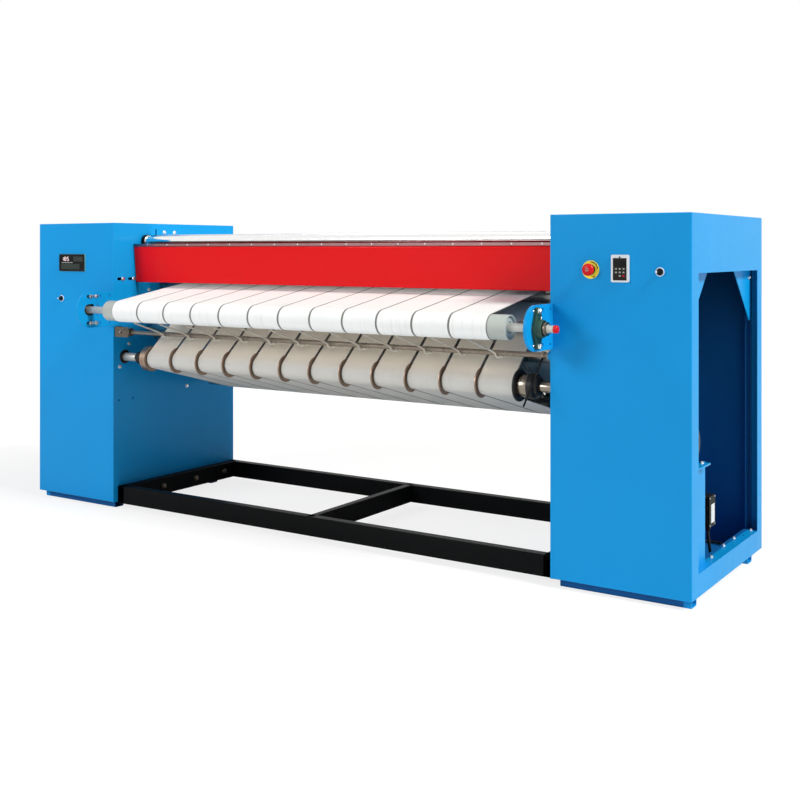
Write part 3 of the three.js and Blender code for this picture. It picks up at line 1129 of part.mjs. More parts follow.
function controlBox() {
  const floor = FOOT_HEIGHT + CABINET_SHEET + FIT_GAP;
  const { inset, y, width, depth, height, rise } = CONTROL_BOX;
  const x = CABINET_OUT - inset;
  const [x0, x1] = [x - width / 2, x + width / 2];
  const low = floor + rise;
  const body = plateX(rectangle(y, low + height / 2, depth, height, 5), [x0, x1]);
  const post = block([x0 + CONTROL_POST.inset, x0 + CONTROL_POST.inset + CONTROL_POST.width],
    [y - CONTROL_POST.depth / 2, y + CONTROL_POST.depth / 2], [floor, low + 1]);
  add('control_box', join(body, post), BLACK_PLASTIC);

  const cableZ = floor + CABLE_RADIUS + CABLE_LIFT;
  const gland = new THREE.Vector3(CABINET_OUT - GLAND.inset, CABINET_SHEET + GLAND.length + 2 * FIT_GAP,
    floor + GLAND.rise);
  const entry = new THREE.Vector3(x + width / 2 - 18, y + 8, low - FIT_GAP);
  const turn = new THREE.Vector3(CABINET_OUT + CABLE_TURN.x, CABLE_TURN.y, cableZ);
  const from = (start, dx, dy, dz) => start.clone().add(new THREE.Vector3(dx, dy, dz));
  const loop = [0, 45, 90, 135, 180].map((degrees) => {
    const a = THREE.MathUtils.degToRad(degrees);
    return from(turn, CABLE_TURN.radius * Math.cos(a), CABLE_TURN.radius * Math.sin(a), 0);
  });
  const cable = new THREE.CatmullRomCurve3([
    entry, from(entry, 0, 0, -16), from(entry, -1, 14, -66),
    new THREE.Vector3(entry.x - 6, entry.y + 50, cableZ + 28),
    new THREE.Vector3(entry.x - 18, entry.y + 110, cableZ + 3),
    new THREE.Vector3(entry.x - 30, entry.y + 190, cableZ),
    ...loop,
    from(turn, 10 - CABLE_TURN.radius, -70, 0), from(turn, 32 - CABLE_TURN.radius, -150, 0),
    from(turn, 58 - CABLE_TURN.radius, -240, 0), from(turn, 70 - CABLE_TURN.radius, -320, 0),
    from(gland, -24, 275, cableZ - gland.z), from(gland, -13, 175, cableZ - gland.z),
    from(gland, -3, 95, cableZ - gland.z + 1), from(gland, 0, 50, cableZ - gland.z + 7),
    from(gland, 0, 16, 0), gland,
  ]);
  add('control_cable', wire(cable, CABLE_RADIUS, 6, 40), BLACK_PLASTIC);
}

// ------------------------------------------------------------------ assembly

baseFrame();
footRails();
sidePlate(-1, 'left_side_plate');
sidePlate(1, 'right_side_plate');
leftCabinet();
rightCabinet();

feedRoller();
feedBearing(-1, 'feed_bearing_left');
feedBearing(1, 'feed_bearing_right');
plainRoller('nip_roller', NIP_ROLLER, STEEL);
belts('feed_belt', [FEED_ROLLER, NIP_ROLLER], FEED_BELT_WIDTH, BELT_CLOTH);

deliveryRoller();
plainRoller('nose_roller', NOSE_ROLLER, STEEL);
plainRoller('tail_roller', TAIL_ROLLER, STEEL);
belts('delivery_belt', [DELIVERY_ROLLER, TAIL_ROLLER, NOSE_ROLLER], DELIVERY_BELT_WIDTH,
  CREAM_CLOTH, DELIVERY_SHIFT);

fingerBar();
fingerBracket();
guard();
topTube();
hood();
drum();
gearMotor();

emergencyStop();
keypad();
selectorKnob(-1, SELECTOR_LEFT, 'selector_knob_left');
selectorKnob(1, SELECTOR_RIGHT, 'selector_knob_right');
temperatureController();
controlBox();

export default group;
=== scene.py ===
"""Looks of a wide flatwork ironer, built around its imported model.

Sizes are millimetres measured from the machine's middle (x), the front faces of its
cabinets (y) and the floor (z); every mesh is made in metres in the model's own frame.
"""

import logging
import math
from dataclasses import dataclass
from enum import Enum
from typing import Any, Iterable, Mapping, Sequence, Union

import bmesh
import bpy
from mathutils import Matrix, Vector


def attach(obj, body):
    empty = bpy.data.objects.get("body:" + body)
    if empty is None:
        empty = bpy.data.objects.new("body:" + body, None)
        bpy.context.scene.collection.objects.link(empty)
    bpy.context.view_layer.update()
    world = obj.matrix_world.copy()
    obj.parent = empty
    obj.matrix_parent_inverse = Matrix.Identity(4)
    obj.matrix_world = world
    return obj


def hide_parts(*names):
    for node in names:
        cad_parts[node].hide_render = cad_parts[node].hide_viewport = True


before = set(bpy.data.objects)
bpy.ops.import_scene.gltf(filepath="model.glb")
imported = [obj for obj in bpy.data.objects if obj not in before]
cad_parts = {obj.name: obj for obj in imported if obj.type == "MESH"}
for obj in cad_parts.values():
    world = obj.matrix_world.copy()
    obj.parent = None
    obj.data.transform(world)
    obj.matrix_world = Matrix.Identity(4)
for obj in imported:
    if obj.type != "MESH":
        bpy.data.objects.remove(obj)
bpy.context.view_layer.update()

LOG = logging.getLogger("ironer")
MM = 0.001

Pair = tuple[float, float]
Place = tuple[float, float, float]
Colour = tuple[float, float, float]

# Sizes that several sub-assemblies share
FRONT_Y = -289.0
DEPTH = 780.0
HEIGHT = 1250.0
PLATE_IN = 1047.0
PLATE_OUT = 1057.0
WALL = PLATE_IN - 0.3
CABINET_IN = 1057.3
CABINET_OUT = 1532.3
FEED_AXIS: Pair = (-130.0, 876.0)
NIP_AXIS: Pair = (289.91, 964.89)
DELIVERY_AXIS: Pair = (66.0, 661.5)
NOSE_AXIS: Pair = (214.79, 777.75)
TAIL_AXIS: Pair = (559.54, 530.05)
DRUM_AXIS: Pair = (505.0, 895.0)
BAR_AXIS: Pair = (20.0, 775.0)
GUARD_AXIS: Pair = (121.0, 1141.0)
TUBE_AXIS: Pair = (190.0, 1171.0)
MOTOR_AXIS: Pair = (118.0, 506.3)
FEED_RADIUS = 42.0
DELIVERY_RADIUS = 38.0
NIP_RADIUS = 24.0
NOSE_RADIUS = 50.0
TAIL_RADIUS = 36.0
JOURNAL = 14.0
BEARING_BOLT = 57.0
CHAIN_PITCH = 25.4
BELT_COUNT = 12
BELT_PITCH = 147.5
BELT_CENTRE = 15.0
SELECTOR_LEFT: Pair = (-1378.8, 913.0)
SELECTOR_RIGHT: Pair = (1429.8, 1062.0)
CABLE_GLAND: Place = (1407.3, 12.6, 56.3)
CABLE_ENTRY: Place = (1458.3, 386.0, 184.0)

RIGHT = Vector((1, 0, 0))
UP = Vector((0, 0, 1))


def spot(x: float, y: float, z: float) -> Vector:
    """Gives a place in metres from millimetres off the middle, the fronts and the floor."""
    return Vector((x, y + FRONT_Y, z)) * MM


class Along(Enum):
    """The axis that a piece is turned about, or across which a plate is thick."""

    X = 0
    Y = 1
    Z = 2

    @property
    def order(self) -> tuple[int, ...]:
        """The two other axes and then this one."""
        return *(n for n in range(3) if n != self.value), self.value

    def place(self, distance: float, u: float, v: float) -> Vector:
        """Gives a place in metres, from its distance along this axis and the two others.

        Args:
            distance: the place along this axis in millimetres.
            u: the place on the first of the two other axes.
            v: the place on the second of them.

        Returns:
            The place.
        """
        parts = [u, v]
        parts.insert(self.value, distance)
        return spot(*parts)


class Body(Enum):
    """The bodies of the machine that pieces ride on."""

    FRAME = "machine_frame"
    FEED = "feed_roller_body"
    NIP = "nip_roller_body"
    DELIVERY = "delivery_roller_body"
    NOSE = "nose_roller_body"
    TAIL = "tail_roller_body"
    DRUM = "drum_body"
    MOTOR_SHAFT = "motor_shaft_body"
    GUARD = "guard_body"
    FINGERS = "finger_bar_body"
    STOP = "estop_body"
    SELECTOR_LEFT = "selector_left_body"
    SELECTOR_RIGHT = "selector_right_body"


# ---------------------------------------------------------------- shader nodes


class Sock:
    """A node's output that can be reckoned with like a number."""

    def __init__(self, graph: "Graph", socket: bpy.types.NodeSocket | None) -> None:
        """Wraps one output socket of a graph."""
        self.graph = graph
        self.socket = socket

    def other(self, name: str) -> "Sock":
        """Gives another output of the same node."""
        return Sock(self.graph, self.socket.node.outputs[name])

    def reckon(self, operation: str, *values: "Value") -> "Sock":
        """Adds a Math node that works on the values, in order."""
        sockets = dict(zip(("Value", "Value_001"), values))
        return self.graph.node("ShaderNodeMath", sockets, operation=operation)

    def __add__(self, value: "Value") -> "Sock":
        """Adds a value."""
        return self.reckon("ADD", self, value)

    __radd__ = __add__

    def __sub__(self, value: "Value") -> "Sock":
        """Takes a value away."""
        return self.reckon("SUBTRACT", self, value)

    def __rsub__(self, value: "Value") -> "Sock":
        """Is taken away from a value."""
        return self.reckon("SUBTRACT", value, self)

    def __mul__(self, value: "Value") -> "Sock":
        """Multiplies by a value."""
        return self.reckon("MULTIPLY", self, value)

    def rise(self, low: float, high: float) -> "Sock":
        """Runs smoothly from 0 at the low value to 1 at the high one."""
        return self.graph.node("ShaderNodeMapRange", {
            "Value": self, "From Min": low, "From Max": high}, interpolation_type="SMOOTHSTEP")

    def past(self, place: float) -> "Sock":
        """Gives 1 past a place in millimetres, with a fade of less than half a millimetre."""
        return self.rise((place - 0.2) * MM, (place + 0.2) * MM)

    def sine(self) -> "Sock":
        """Takes the sine."""
        return self.reckon("SINE", self)

    def size(self) -> "Sock":
        """Drops the sign."""
        return self.reckon("ABSOLUTE", self)

    def most(self, value: "Value") -> "Sock":
        """Takes the larger of two values."""
        return self.reckon("MAXIMUM", self, value)


Value = Union[float, int, Sequence[float], Sock]


class Graph:
    """The nodes of one material or world."""

    def __init__(self, owner: bpy.types.Material | bpy.types.World) -> None:
        """Starts an empty node tree in its owner.

        Args:
            owner: the material or world.
        """
        owner.use_nodes = True
        self.owner = owner
        self.tree = owner.node_tree
        self.tree.nodes.clear()

    def node(self, kind: str, sockets: Mapping[str, Value] | None = None,
             **settings: Any) -> Sock:
        """Adds a node.

        Args:
            kind: the node's type.
            sockets: values or links for its inputs, by identifier or name.
            settings: the node's settings.

        Returns:
            The node's first live output.
        """
        made = self.tree.nodes.new(kind)
        for key, value in settings.items():
            setattr(made, key, value)
        for key, value in (sockets or {}).items():
            self._feed(next(s for s in made.inputs if key in (s.identifier, s.name)), value)
        return Sock(self, next((s for s in made.outputs if s.enabled), None))

    def _feed(self, target: bpy.types.NodeSocket, value: Value) -> None:
        """Links or sets one input.

        Args:
            target: the input.
            value: the value, or the output to link.
        """
        if isinstance(value, Sock):
            self.tree.links.new(value.socket, target)
        elif isinstance(target.default_value, (int, float)):
            target.default_value = value
        else:
            target.default_value = (*value, 1.0)[:len(target.default_value)]

    def stretched(self, place: Sock, scale: Sequence[float]) -> Sock:
        """Multiplies a place by a scale along each axis."""
        return self.node("ShaderNodeVectorMath", {"Vector": place, "Vector_001": scale},
                         operation="MULTIPLY")

    def place(self, scale: Sequence[float] = (1.0, 1.0, 1.0)) -> Sock:
        """Gives the place on the piece in metres, stretched by a scale."""
        return self.stretched(self.node("ShaderNodeTexCoord").other("Object"), scale)

    def axes(self, place: Sock | None = None) -> tuple[Sock, Sock, Sock]:
        """Gives a place as its three numbers; without one, the place on the piece."""
        parts = self.node("ShaderNodeSeparateXYZ", {"Vector": place or self.place()})
        return parts, parts.other("Y"), parts.other("Z")

    def noise(self, scale: float, stretch: Sequence[float] = (1.0, 1.0, 1.0),
              detail: float = 3.0) -> Sock:
        """Gives even noise.

        Args:
            scale: grains per metre.
            stretch: factors along the three axes.
            detail: octaves of finer grain.

        Returns:
            The noise, from 0 to 1.
        """
        return self.node("ShaderNodeTexNoise", {
            "Vector": self.place(stretch), "Scale": scale, "Detail": detail})

    def blend(self, share: Value, first: Value, second: Value) -> Sock:
        """Mixes two colours, with the given share of the second one."""
        return self.node("ShaderNodeMix", {
            "Factor_Float": share, "A_Color": first, "B_Color": second}, data_type="RGBA")

    def tones(self, share: Value, colour: Colour, dark: float, light: float) -> Sock:
        """Runs a colour from a darker to a lighter tone of itself.

        Args:
            share: how much of the lighter tone is used.
            colour: the colour.
            dark: the darker tone's factor.
            light: the lighter tone's factor.

        Returns:
            The toned colour.
        """
        return self.blend(share, shifted(colour, dark), shifted(colour, light))

    def bump(self, height: Value, distance: float) -> Sock:
        """Raises the surface by a height, with the distance in metres for a height of 1."""
        return self.node("ShaderNodeBump", {"Height": height, "Distance": distance})

    def mix_shader(self, share: Sock, first: Sock, second: Sock) -> Sock:
        """Mixes two shaders, with the given share of the second one."""
        return self.node("ShaderNodeMixShader", {
            "Fac": share, "Shader": first, "Shader_001": second})

    def shade(self, **sockets: Value) -> bpy.types.Material:
        """Ends the material with its shader, whose sockets are named with _ for a space.

        Args:
            sockets: values or links for the shader's inputs.

        Returns:
            The finished material.
        """
        named: dict[str, Value] = {"Specular IOR Level": 0.3}
        named.update((key.replace("_", " "), value) for key, value in sockets.items())
        self.node("ShaderNodeOutputMaterial", {
            "Surface": self.node("ShaderNodeBsdfPrincipled", named)})
        return self.owner


def shifted(colour: Colour, factor: float) -> Colour:
    """Makes a colour lighter or darker by a factor."""
    red, green, blue = (min(part * factor, 1.0) for part in colour)
    return red, green, blue


# ---------------------------------------------------------------- finishes


@dataclass(frozen=True)
class Finish:
    """What all finishes share: a name, a slot and a colour."""

    name: str
    slot: str
    colour: Colour

    def build(self, graph: Graph) -> bpy.types.Material:
        """Makes the material's nodes in a fresh graph."""
        return graph.shade(Base_Color=self.colour)

    def material(self) -> bpy.types.Material:
        """Gives the finish's material, made on its first use.

        Returns:
            The material.
        """
        label = f"{self.name}_finish"
        return bpy.data.materials.get(label) or self.build(
            Graph(bpy.data.materials.new(label)))


@dataclass(frozen=True)
class Enamel(Finish):
    """Sprayed paint on steel, with orange peel, faint dust and rubbed patches."""

    roughness: float = 0.34
    coat: float = 0.04
    peel: float = 0.00006
    patch: float = 0.07
    speck: float = 0.25
    shine: float = 0.12
    # The colour of painted shade on the faces inside a cabinet, or None for none.
    inner: Colour | None = None

    @staticmethod
    def inside(graph: Graph) -> Sock:
        """Gives 1 on the faces inside a cabinet, which take painted shade.

        Args:
            graph: the material's empty graph.

        Returns:
            The mask.
        """
        x, y, z = graph.axes()
        side = x.size()
        across = side.past(PLATE_OUT - 0.6) * (1 - side.rise(1.494, 1.497))
        deep = y.past(FRONT_Y + 1) * (1 - y.past(FRONT_Y + DEPTH - 1))
        return across * deep * (1 - z.past(HEIGHT - 1))

    def shade_inside(self, graph: Graph, paint: Sock, broad: Sock) -> Sock:
        """Puts painted shade on the inner faces: a darker blue, darkest towards the top.

        Args:
            graph: the material's graph.
            paint: the paint of the other faces.
            broad: broad patches, from 0 to 1.

        Returns:
            The colour of all faces.
        """
        inner_shade = graph.tones(broad, self.inner, 0.85, 1.1)
        # Painted shadow under the cabinet's roof: darker towards the top.
        high = graph.axes()[2].rise(0.7, 1.1) * 0.65
        inner_shade = graph.blend(high, inner_shade, shifted(self.inner, 0.2))
        return graph.blend(self.inside(graph), paint, inner_shade)

    def build(self, graph: Graph) -> bpy.types.Material:
        """Makes the paint: broad patches and specks in its colour, peel in its surface.

        Args:
            graph: the material's empty graph.

        Returns:
            The finished material.
        """
        broad = graph.noise(2.2, detail=2.0)
        fine = graph.noise(38.0, detail=5.0)
        specks = graph.noise(620.0, detail=1.0).rise(0.76, 0.82)
        streak = graph.noise(26.0, (1.0, 1.0, 0.12), 4.0)
        toned = graph.tones(broad, self.colour, 1 - self.patch, 1 + self.patch)
        colour = graph.blend(specks * self.speck * fine, toned, (0.7, 0.75, 0.8))
        # Painted shade on the faces inside the cabinets.
        if self.inner:
            colour = self.shade_inside(graph, colour, broad)
        rough = self.roughness + (fine - 0.5) * 0.1 + (streak - 0.5) * 0.08
        peel = graph.noise(330.0, detail=2.0) + fine * 0.6
        return graph.shade(Base_Color=colour, Roughness=rough, Coat_Weight=self.coat,
                           Coat_Roughness=0.12, Specular_IOR_Level=self.shine,
                           Normal=graph.bump(peel, self.peel))


@dataclass(frozen=True)
class Casting(Finish):
    """Painted cast iron with a sand-rough skin."""

    roughness: float = 0.42

    def build(self, graph: Graph) -> bpy.types.Material:
        """Makes the casting: pits and lumps in its skin, worn paint on the high grains.

        Args:
            graph: the material's empty graph.

        Returns:
            The finished material.
        """
        sand = graph.noise(420.0, detail=4.0)
        lumps = graph.noise(60.0, detail=2.0)
        worn = sand.rise(0.66, 0.78) * 0.35
        colour = graph.blend(worn, graph.tones(lumps, self.colour, 0.7, 1.3),
                             (0.3, 0.33, 0.3))
        return graph.shade(Base_Color=colour, Roughness=self.roughness + sand * 0.2,
                           Coat_Weight=0.2, Normal=graph.bump(sand + lumps, 0.0005))


@dataclass(frozen=True)
class Steel(Finish):
    """Bare steel with the marks of its making: brushed, ground or turned."""

    roughness: float = 0.3
    grain: tuple[float, float, float] = (1.0, 1.0, 1.0)
    depth: float = 0.00002
    stain: float = 0.25
    metal: float = 1.0
    tarnish: Colour = (0.16, 0.11, 0.07)

    def build(self, graph: Graph) -> bpy.types.Material:
        """Makes the metal: fine grain across its making, soft stains in its shine.

        Args:
            graph: the material's empty graph.

        Returns:
            The finished material.
        """
        grain = graph.noise(420.0, self.grain, 4.0)
        stains = graph.noise(17.0, detail=5.0)
        toned = graph.tones(grain, self.colour, 0.86, 1.1)
        colour = graph.blend(stains.rise(0.5, 0.85) * self.stain, toned, self.tarnish)
        rough = self.roughness + (grain - 0.5) * 0.16 + (stains - 0.5) * 0.22
        return graph.shade(Base_Color=colour, Metallic=self.metal, Roughness=rough,
                           Normal=graph.bump(grain, self.depth))


@dataclass(frozen=True)
class BeltCloth(Finish):
    """Woven ironer belt, with its weave, faint marks along its run, painted shade along its
    edges and, where asked, a painted light tone on its upper run.
    """

    width: float = 0.144
    thread: float = 0.0021
    # The width of the painted shade along each edge, which stands for the dark gap between
    # neighbouring belts.
    edge_shade_width: float = 0.0034
    # The height in metres above which the upper run takes a painted light tone, 0 for none, and
    # that tone's colour.
    painted_light_height: float = 0.0
    dust: Colour = (0.96, 0.84, 0.69)
    soil: Colour = (0.36, 0.33, 0.28)
    # The colour of that painted edge shade.
    gap_shade: Colour = (0.07, 0.06, 0.05)

    def build(self, graph: Graph) -> bpy.types.Material:
        """Makes the cloth from the belt's own map: u across it and v along it, in metres.

        Args:
            graph: the material's empty graph.

        Returns:
            The finished material.
        """
        here = graph.node("ShaderNodeUVMap", uv_map="run")
        across, along, _ = graph.axes(here)
        turn = 2 * math.pi / self.thread
        warp = (across * turn).sine()
        weft = (along * turn + across * (turn / 2)).sine()
        weave = warp * weft * 0.5 + 0.5
        marks = graph.node("ShaderNodeTexNoise", {
            "Vector": graph.stretched(here, (90.0, 5.0, 1.0)), "Scale": 1.0, "Detail": 5.0})
        cloud = graph.noise(9.0, detail=3.0)
        # Painted shade along both edges, where the gaps between belts lie.
        edge = across.size().rise(self.width / 2 - self.edge_shade_width, self.width / 2 - self.edge_shade_width / 3)
        dirt = marks.rise(0.5, 0.8) * 0.16 + cloud.rise(0.5, 0.8) * 0.08
        threads = graph.tones(weave, self.colour, 0.93, 1.0)
        fuzz = graph.noise(900.0, detail=2.0)
        # Dirt marks, then the painted edge shade over them.
        worn = graph.blend(edge * 0.85, graph.blend(dirt, threads, self.soil), self.gap_shade)
        # Painted light: a lighter warm tone on the upper run, which makes up for the shade of
        # the feed belts above it.
        if self.painted_light_height:
            height = graph.axes()[2].rise(self.painted_light_height, self.painted_light_height + 0.055)
            worn = graph.blend(height * (1 - edge) * 0.8, worn, self.dust)
        return graph.shade(Base_Color=worn, Roughness=0.82 + fuzz * 0.12, Sheen_Weight=0.25,
                           Normal=graph.bump(weave + fuzz * 0.5, 0.00025))


@dataclass(frozen=True)
class Plastic(Finish):
    """Moulded plastic or rubber with a fine moulded grain."""

    roughness: float = 0.4
    grain: float = 0.00004
    dust: float = 0.03
    shine: float = 0.2

    def build(self, graph: Graph) -> bpy.types.Material:
        """Makes the plastic: a fine grain, finger marks in its shine, dust in its colour.

        Args:
            graph: the material's empty graph.

        Returns:
            The finished material.
        """
        grain = graph.noise(1500.0, detail=2.0)
        marks = graph.noise(45.0, detail=4.0)
        dust = marks.rise(0.45, 0.85) * self.dust
        return graph.shade(Base_Color=graph.blend(dust, self.colour, (0.45, 0.45, 0.45)),
                           Roughness=self.roughness + (marks - 0.5) * 0.2,
                           Specular_IOR_Level=self.shine, Normal=graph.bump(grain, self.grain))


@dataclass(frozen=True)
class Lit(Finish):
    """A lit display segment."""

    strength: float = 1.2

    def build(self, graph: Graph) -> bpy.types.Material:
        """Makes the glow, a little uneven along the segment.

        Args:
            graph: the material's empty graph.

        Returns:
            The finished material.
        """
        glow = graph.tones(graph.noise(260.0), self.colour, 0.8, 1.0)
        return graph.shade(Base_Color=self.colour, Roughness=0.3, Emission_Color=glow,
                           Emission_Strength=self.strength)


ROUND = (1.0, 0.04, 0.04)
# The inner colour is painted shade on the faces inside the cabinets.
BLUE = Enamel("blue_enamel", "blue_paint", (0.004, 0.295, 0.7), inner=(0.008, 0.12, 0.37))
BLACK = Enamel("black_enamel", "black_paint", (0.004, 0.0045, 0.005), roughness=0.42,
               coat=0.0, speck=0.12, shine=0.05)
RED = Enamel("red_enamel", "red_paint", (0.76, 0.004, 0.007), roughness=0.24, coat=0.05,
             patch=0.03)
GREY = Enamel("grey_enamel", "grey_roller", (0.44, 0.475, 0.455), roughness=0.4, patch=0.05)
MOTOR = Enamel("motor_enamel", "motor_paint", (0.03, 0.035, 0.04), roughness=0.42, patch=0.2)
GREEN = Casting("green_casting", "green_iron", (0.016, 0.06, 0.042))
FEED_CLOTH = BeltCloth("feed_cloth", "feed_cloth", (0.93, 0.94, 0.95))
# The delivery cloth has wider painted edge shade, and a painted light tone on its upper run
# above 0.662 m.
DELIVERY_CLOTH = BeltCloth("delivery_cloth", "delivery_cloth", (0.64, 0.625, 0.6),
                           width=0.1405, edge_shade_width=0.0048, painted_light_height=0.662)
TURNED = Steel("turned_steel", "roller_steel", (0.42, 0.4, 0.37), grain=ROUND)
BLACK_RUBBER = Plastic("black_collar", "dark_steel", (0.012, 0.012, 0.013), roughness=0.42)
RING_BROWN = Steel("oiled_ring", "dark_steel", (0.33, 0.235, 0.18), roughness=0.42,
                   grain=ROUND, stain=0.5, tarnish=(0.06, 0.04, 0.03))
SHAFT = Steel("ground_shaft", "dark_steel", (0.52, 0.52, 0.49), roughness=0.4, metal=0.45,
              grain=ROUND, stain=0.35, tarnish=(0.2, 0.17, 0.13))
DARK = Steel("dark_turned_steel", "dark_steel", (0.16, 0.135, 0.11), roughness=0.34,
             grain=ROUND, stain=0.5, tarnish=(0.04, 0.03, 0.022))
HUB = Steel("bright_turned_hub", "dark_steel", (0.27, 0.235, 0.195), roughness=0.24,
            grain=ROUND, stain=0.5, tarnish=(0.14, 0.1, 0.06))
BAR = Steel("drawn_bar", "bar_steel", (0.25, 0.205, 0.165), grain=(0.05, 1.0, 1.0),
            stain=0.4, metal=0.6)
WIRE = Steel("bright_wire", "bar_steel", (0.62, 0.57, 0.5), roughness=0.42, metal=0.25)
SHEET = Steel("brushed_sheet", "stainless", (0.72, 0.73, 0.75), roughness=0.27,
              grain=(0.03, 1.0, 1.0), stain=0.06)
RAIL = Steel("rail_sheet", "stainless", (0.3, 0.16, 0.165), roughness=0.3, stain=0.3)
POLISHED = Steel("polished_tube", "polished_tube", (0.92, 0.91, 0.9), roughness=0.1,
                 grain=(0.06, 1.0, 1.0), depth=0.000004, stain=0.04)
ZINC = Steel("zinc_bolt", "bar_steel", (0.78, 0.79, 0.8), roughness=0.25, stain=0.12)
DRUM = Steel("ironing_drum", "stainless", (0.6, 0.6, 0.61), roughness=0.2, grain=ROUND,
             stain=0.15)
YELLOW = Plastic("yellow_plastic", "yellow_plastic", (1.0, 0.78, 0.07))
STOP_RED = Plastic("red_plastic", "red_plastic", (0.6, 0.006, 0.01), roughness=0.3, dust=0.01)
PALE = Plastic("pale_plastic", "pale_plastic", (0.68, 0.72, 0.76))
BLACK_PLASTIC = Plastic("black_plastic", "black_plastic", (0.006, 0.006, 0.007), shine=0.1)
FACE = Plastic("membrane_face", "black_plastic", (0.02, 0.016, 0.014), shine=0.08)
PANEL = Plastic("panel_face", "black_plastic", (0.035, 0.045, 0.04), shine=0.1)
KEY = Plastic("pale_key", "pale_plastic", (0.34, 0.35, 0.34))
# A pale teal rim painted round the controller as the highlight on its lit edge.
HIGHLIGHT_RIM = Plastic("painted_highlight_rim", "pale_plastic", (0.16, 0.42, 0.42))
RUBBER = Plastic("black_rubber", "cable_rubber", (0.014, 0.014, 0.015), roughness=0.55)
DIGITS = Lit("lit_digits", "red_plastic", (1.0, 0.74, 0.76), strength=0.75)


# ---------------------------------------------------------------- shapes


def level(face: bmesh.types.BMFace) -> bool:
    """Tells whether a face is part of a flat panel, which rounded edges may not shade.

    Args:
        face: the face.

    Returns:
        True for a panel, False for a strip of a rounded form.
    """
    flat, bent = False, []
    for edge in face.edges:
        if len(edge.link_faces) == 2:
            if edge.calc_face_angle(1.0) < 0.002:
                flat = True
            else:
                bent += [other.calc_area() for other in edge.link_faces if other != face]
    if len(face.verts) != 4:
        return flat or len(face.verts) > 4
    return bool(bent) and face.calc_area() > 8 * max(bent)


def sharp_edges(mesh: bmesh.types.BMesh, angle: float) -> list[bmesh.types.BMEdge]:
    """Lists the edges at which two faces turn by more than an angle in degrees."""
    limit = math.radians(angle)
    return [e for e in mesh.edges if len(e.link_faces) == 2 and e.calc_face_angle(0.0) > limit]


def eased(mesh: bmesh.types.BMesh, width: float, segments: int = 2,
          edges: Sequence[bmesh.types.BMEdge] | None = None) -> None:
    """Rounds edges.

    Args:
        mesh: the mesh to work on.
        width: the rounding's width in millimetres; nothing is done for 0.
        segments: faces across the rounding.
        edges: the edges to round, in place of all sharp ones.
    """
    if width > 0:
        bmesh.ops.bevel(mesh, geom=sharp_edges(mesh, 30.0) if edges is None else edges,
                        offset=width * MM, offset_type="OFFSET", segments=segments,
                        profile=0.5, affect="EDGES", clamp_overlap=True, material=-1)


def around(u: float, v: float, radius: float, angle: float) -> Pair:
    """Gives the point at an angle in degrees on a circle round a centre."""
    turn = math.radians(angle)
    return u + radius * math.cos(turn), v + radius * math.sin(turn)


def arc(u: float, v: float, radius: float, start: float, end: float, parts: int) -> list[Pair]:
    """Gives points along an arc, with its angles in degrees and both ends included."""
    return [around(u, v, radius, start + (end - start) * n / parts) for n in range(parts + 1)]


def round_hole(u: float, v: float, radius: float, parts: int = 32) -> list[Pair]:
    """Gives the outline of a round hole."""
    return arc(u, v, radius, 0, 360, parts)[:-1]


def rounded(u: float, v: float, width: float, height: float, radius: float,
            parts: int = 8) -> list[Pair]:
    """Gives a rectangle round a centre, with round corners.

    Args:
        u: its middle on the first axis.
        v: its middle on the second axis.
        width: its size on the first axis.
        height: its size on the second axis.
        radius: the corners' radius.
        parts: the stretches in each corner.

    Returns:
        Its outline.
    """
    du, dv = width / 2 - radius, height / 2 - radius
    corners = ((1, 1), (-1, 1), (-1, -1), (1, -1))
    return [p for n, (a, b) in enumerate(corners)
            for p in arc(u + a * du, v + b * dv, radius, 90 * n, 90 * n + 90, parts)]


def slot(u: float, v: float, width: float, height: float) -> list[Pair]:
    """Gives the outline of a slot with round ends."""
    return rounded(u, v, width, height, min(width, height) / 2 - 0.01)


def turned_by(turn: float, centre: Pair, points: Iterable[Pair]) -> list[Pair]:
    """Turns points about the origin by an angle in radians, then moves them to a centre."""
    c, s = math.cos(turn), math.sin(turn)
    return [(centre[0] + u * c - v * s, centre[1] + u * s + v * c) for u, v in points]


def corners(u: float, v: float, du: float, dv: float) -> list[Pair]:
    """Gives the corners of a rectangle round a centre, from half its width and height."""
    return [(u + a * du, v + b * dv) for a in (-1, 1) for b in (-1, 1)]


def off(side: int, base: float, *profile: Pair) -> list[Pair]:
    """Moves a profile out to a base on one side of the machine."""
    return [(side * (base + distance), radius) for distance, radius in profile]


def shown(name: str, data: bpy.types.ID) -> bpy.types.Object:
    """Puts an object with the given data into the scene.

    Args:
        name: the object's name.
        data: its mesh, lamp or camera.

    Returns:
        The object.
    """
    made = bpy.data.objects.new(name, data)
    bpy.context.scene.collection.objects.link(made)
    return made


def tidied(part: bmesh.types.BMesh) -> bmesh.types.BMesh:
    """Joins doubled corners and turns all faces outwards.

    Args:
        part: the mesh to work on.

    Returns:
        The same mesh.
    """
    bmesh.ops.remove_doubles(part, verts=part.verts, dist=1e-6)
    bmesh.ops.recalc_face_normals(part, faces=part.faces)
    return part


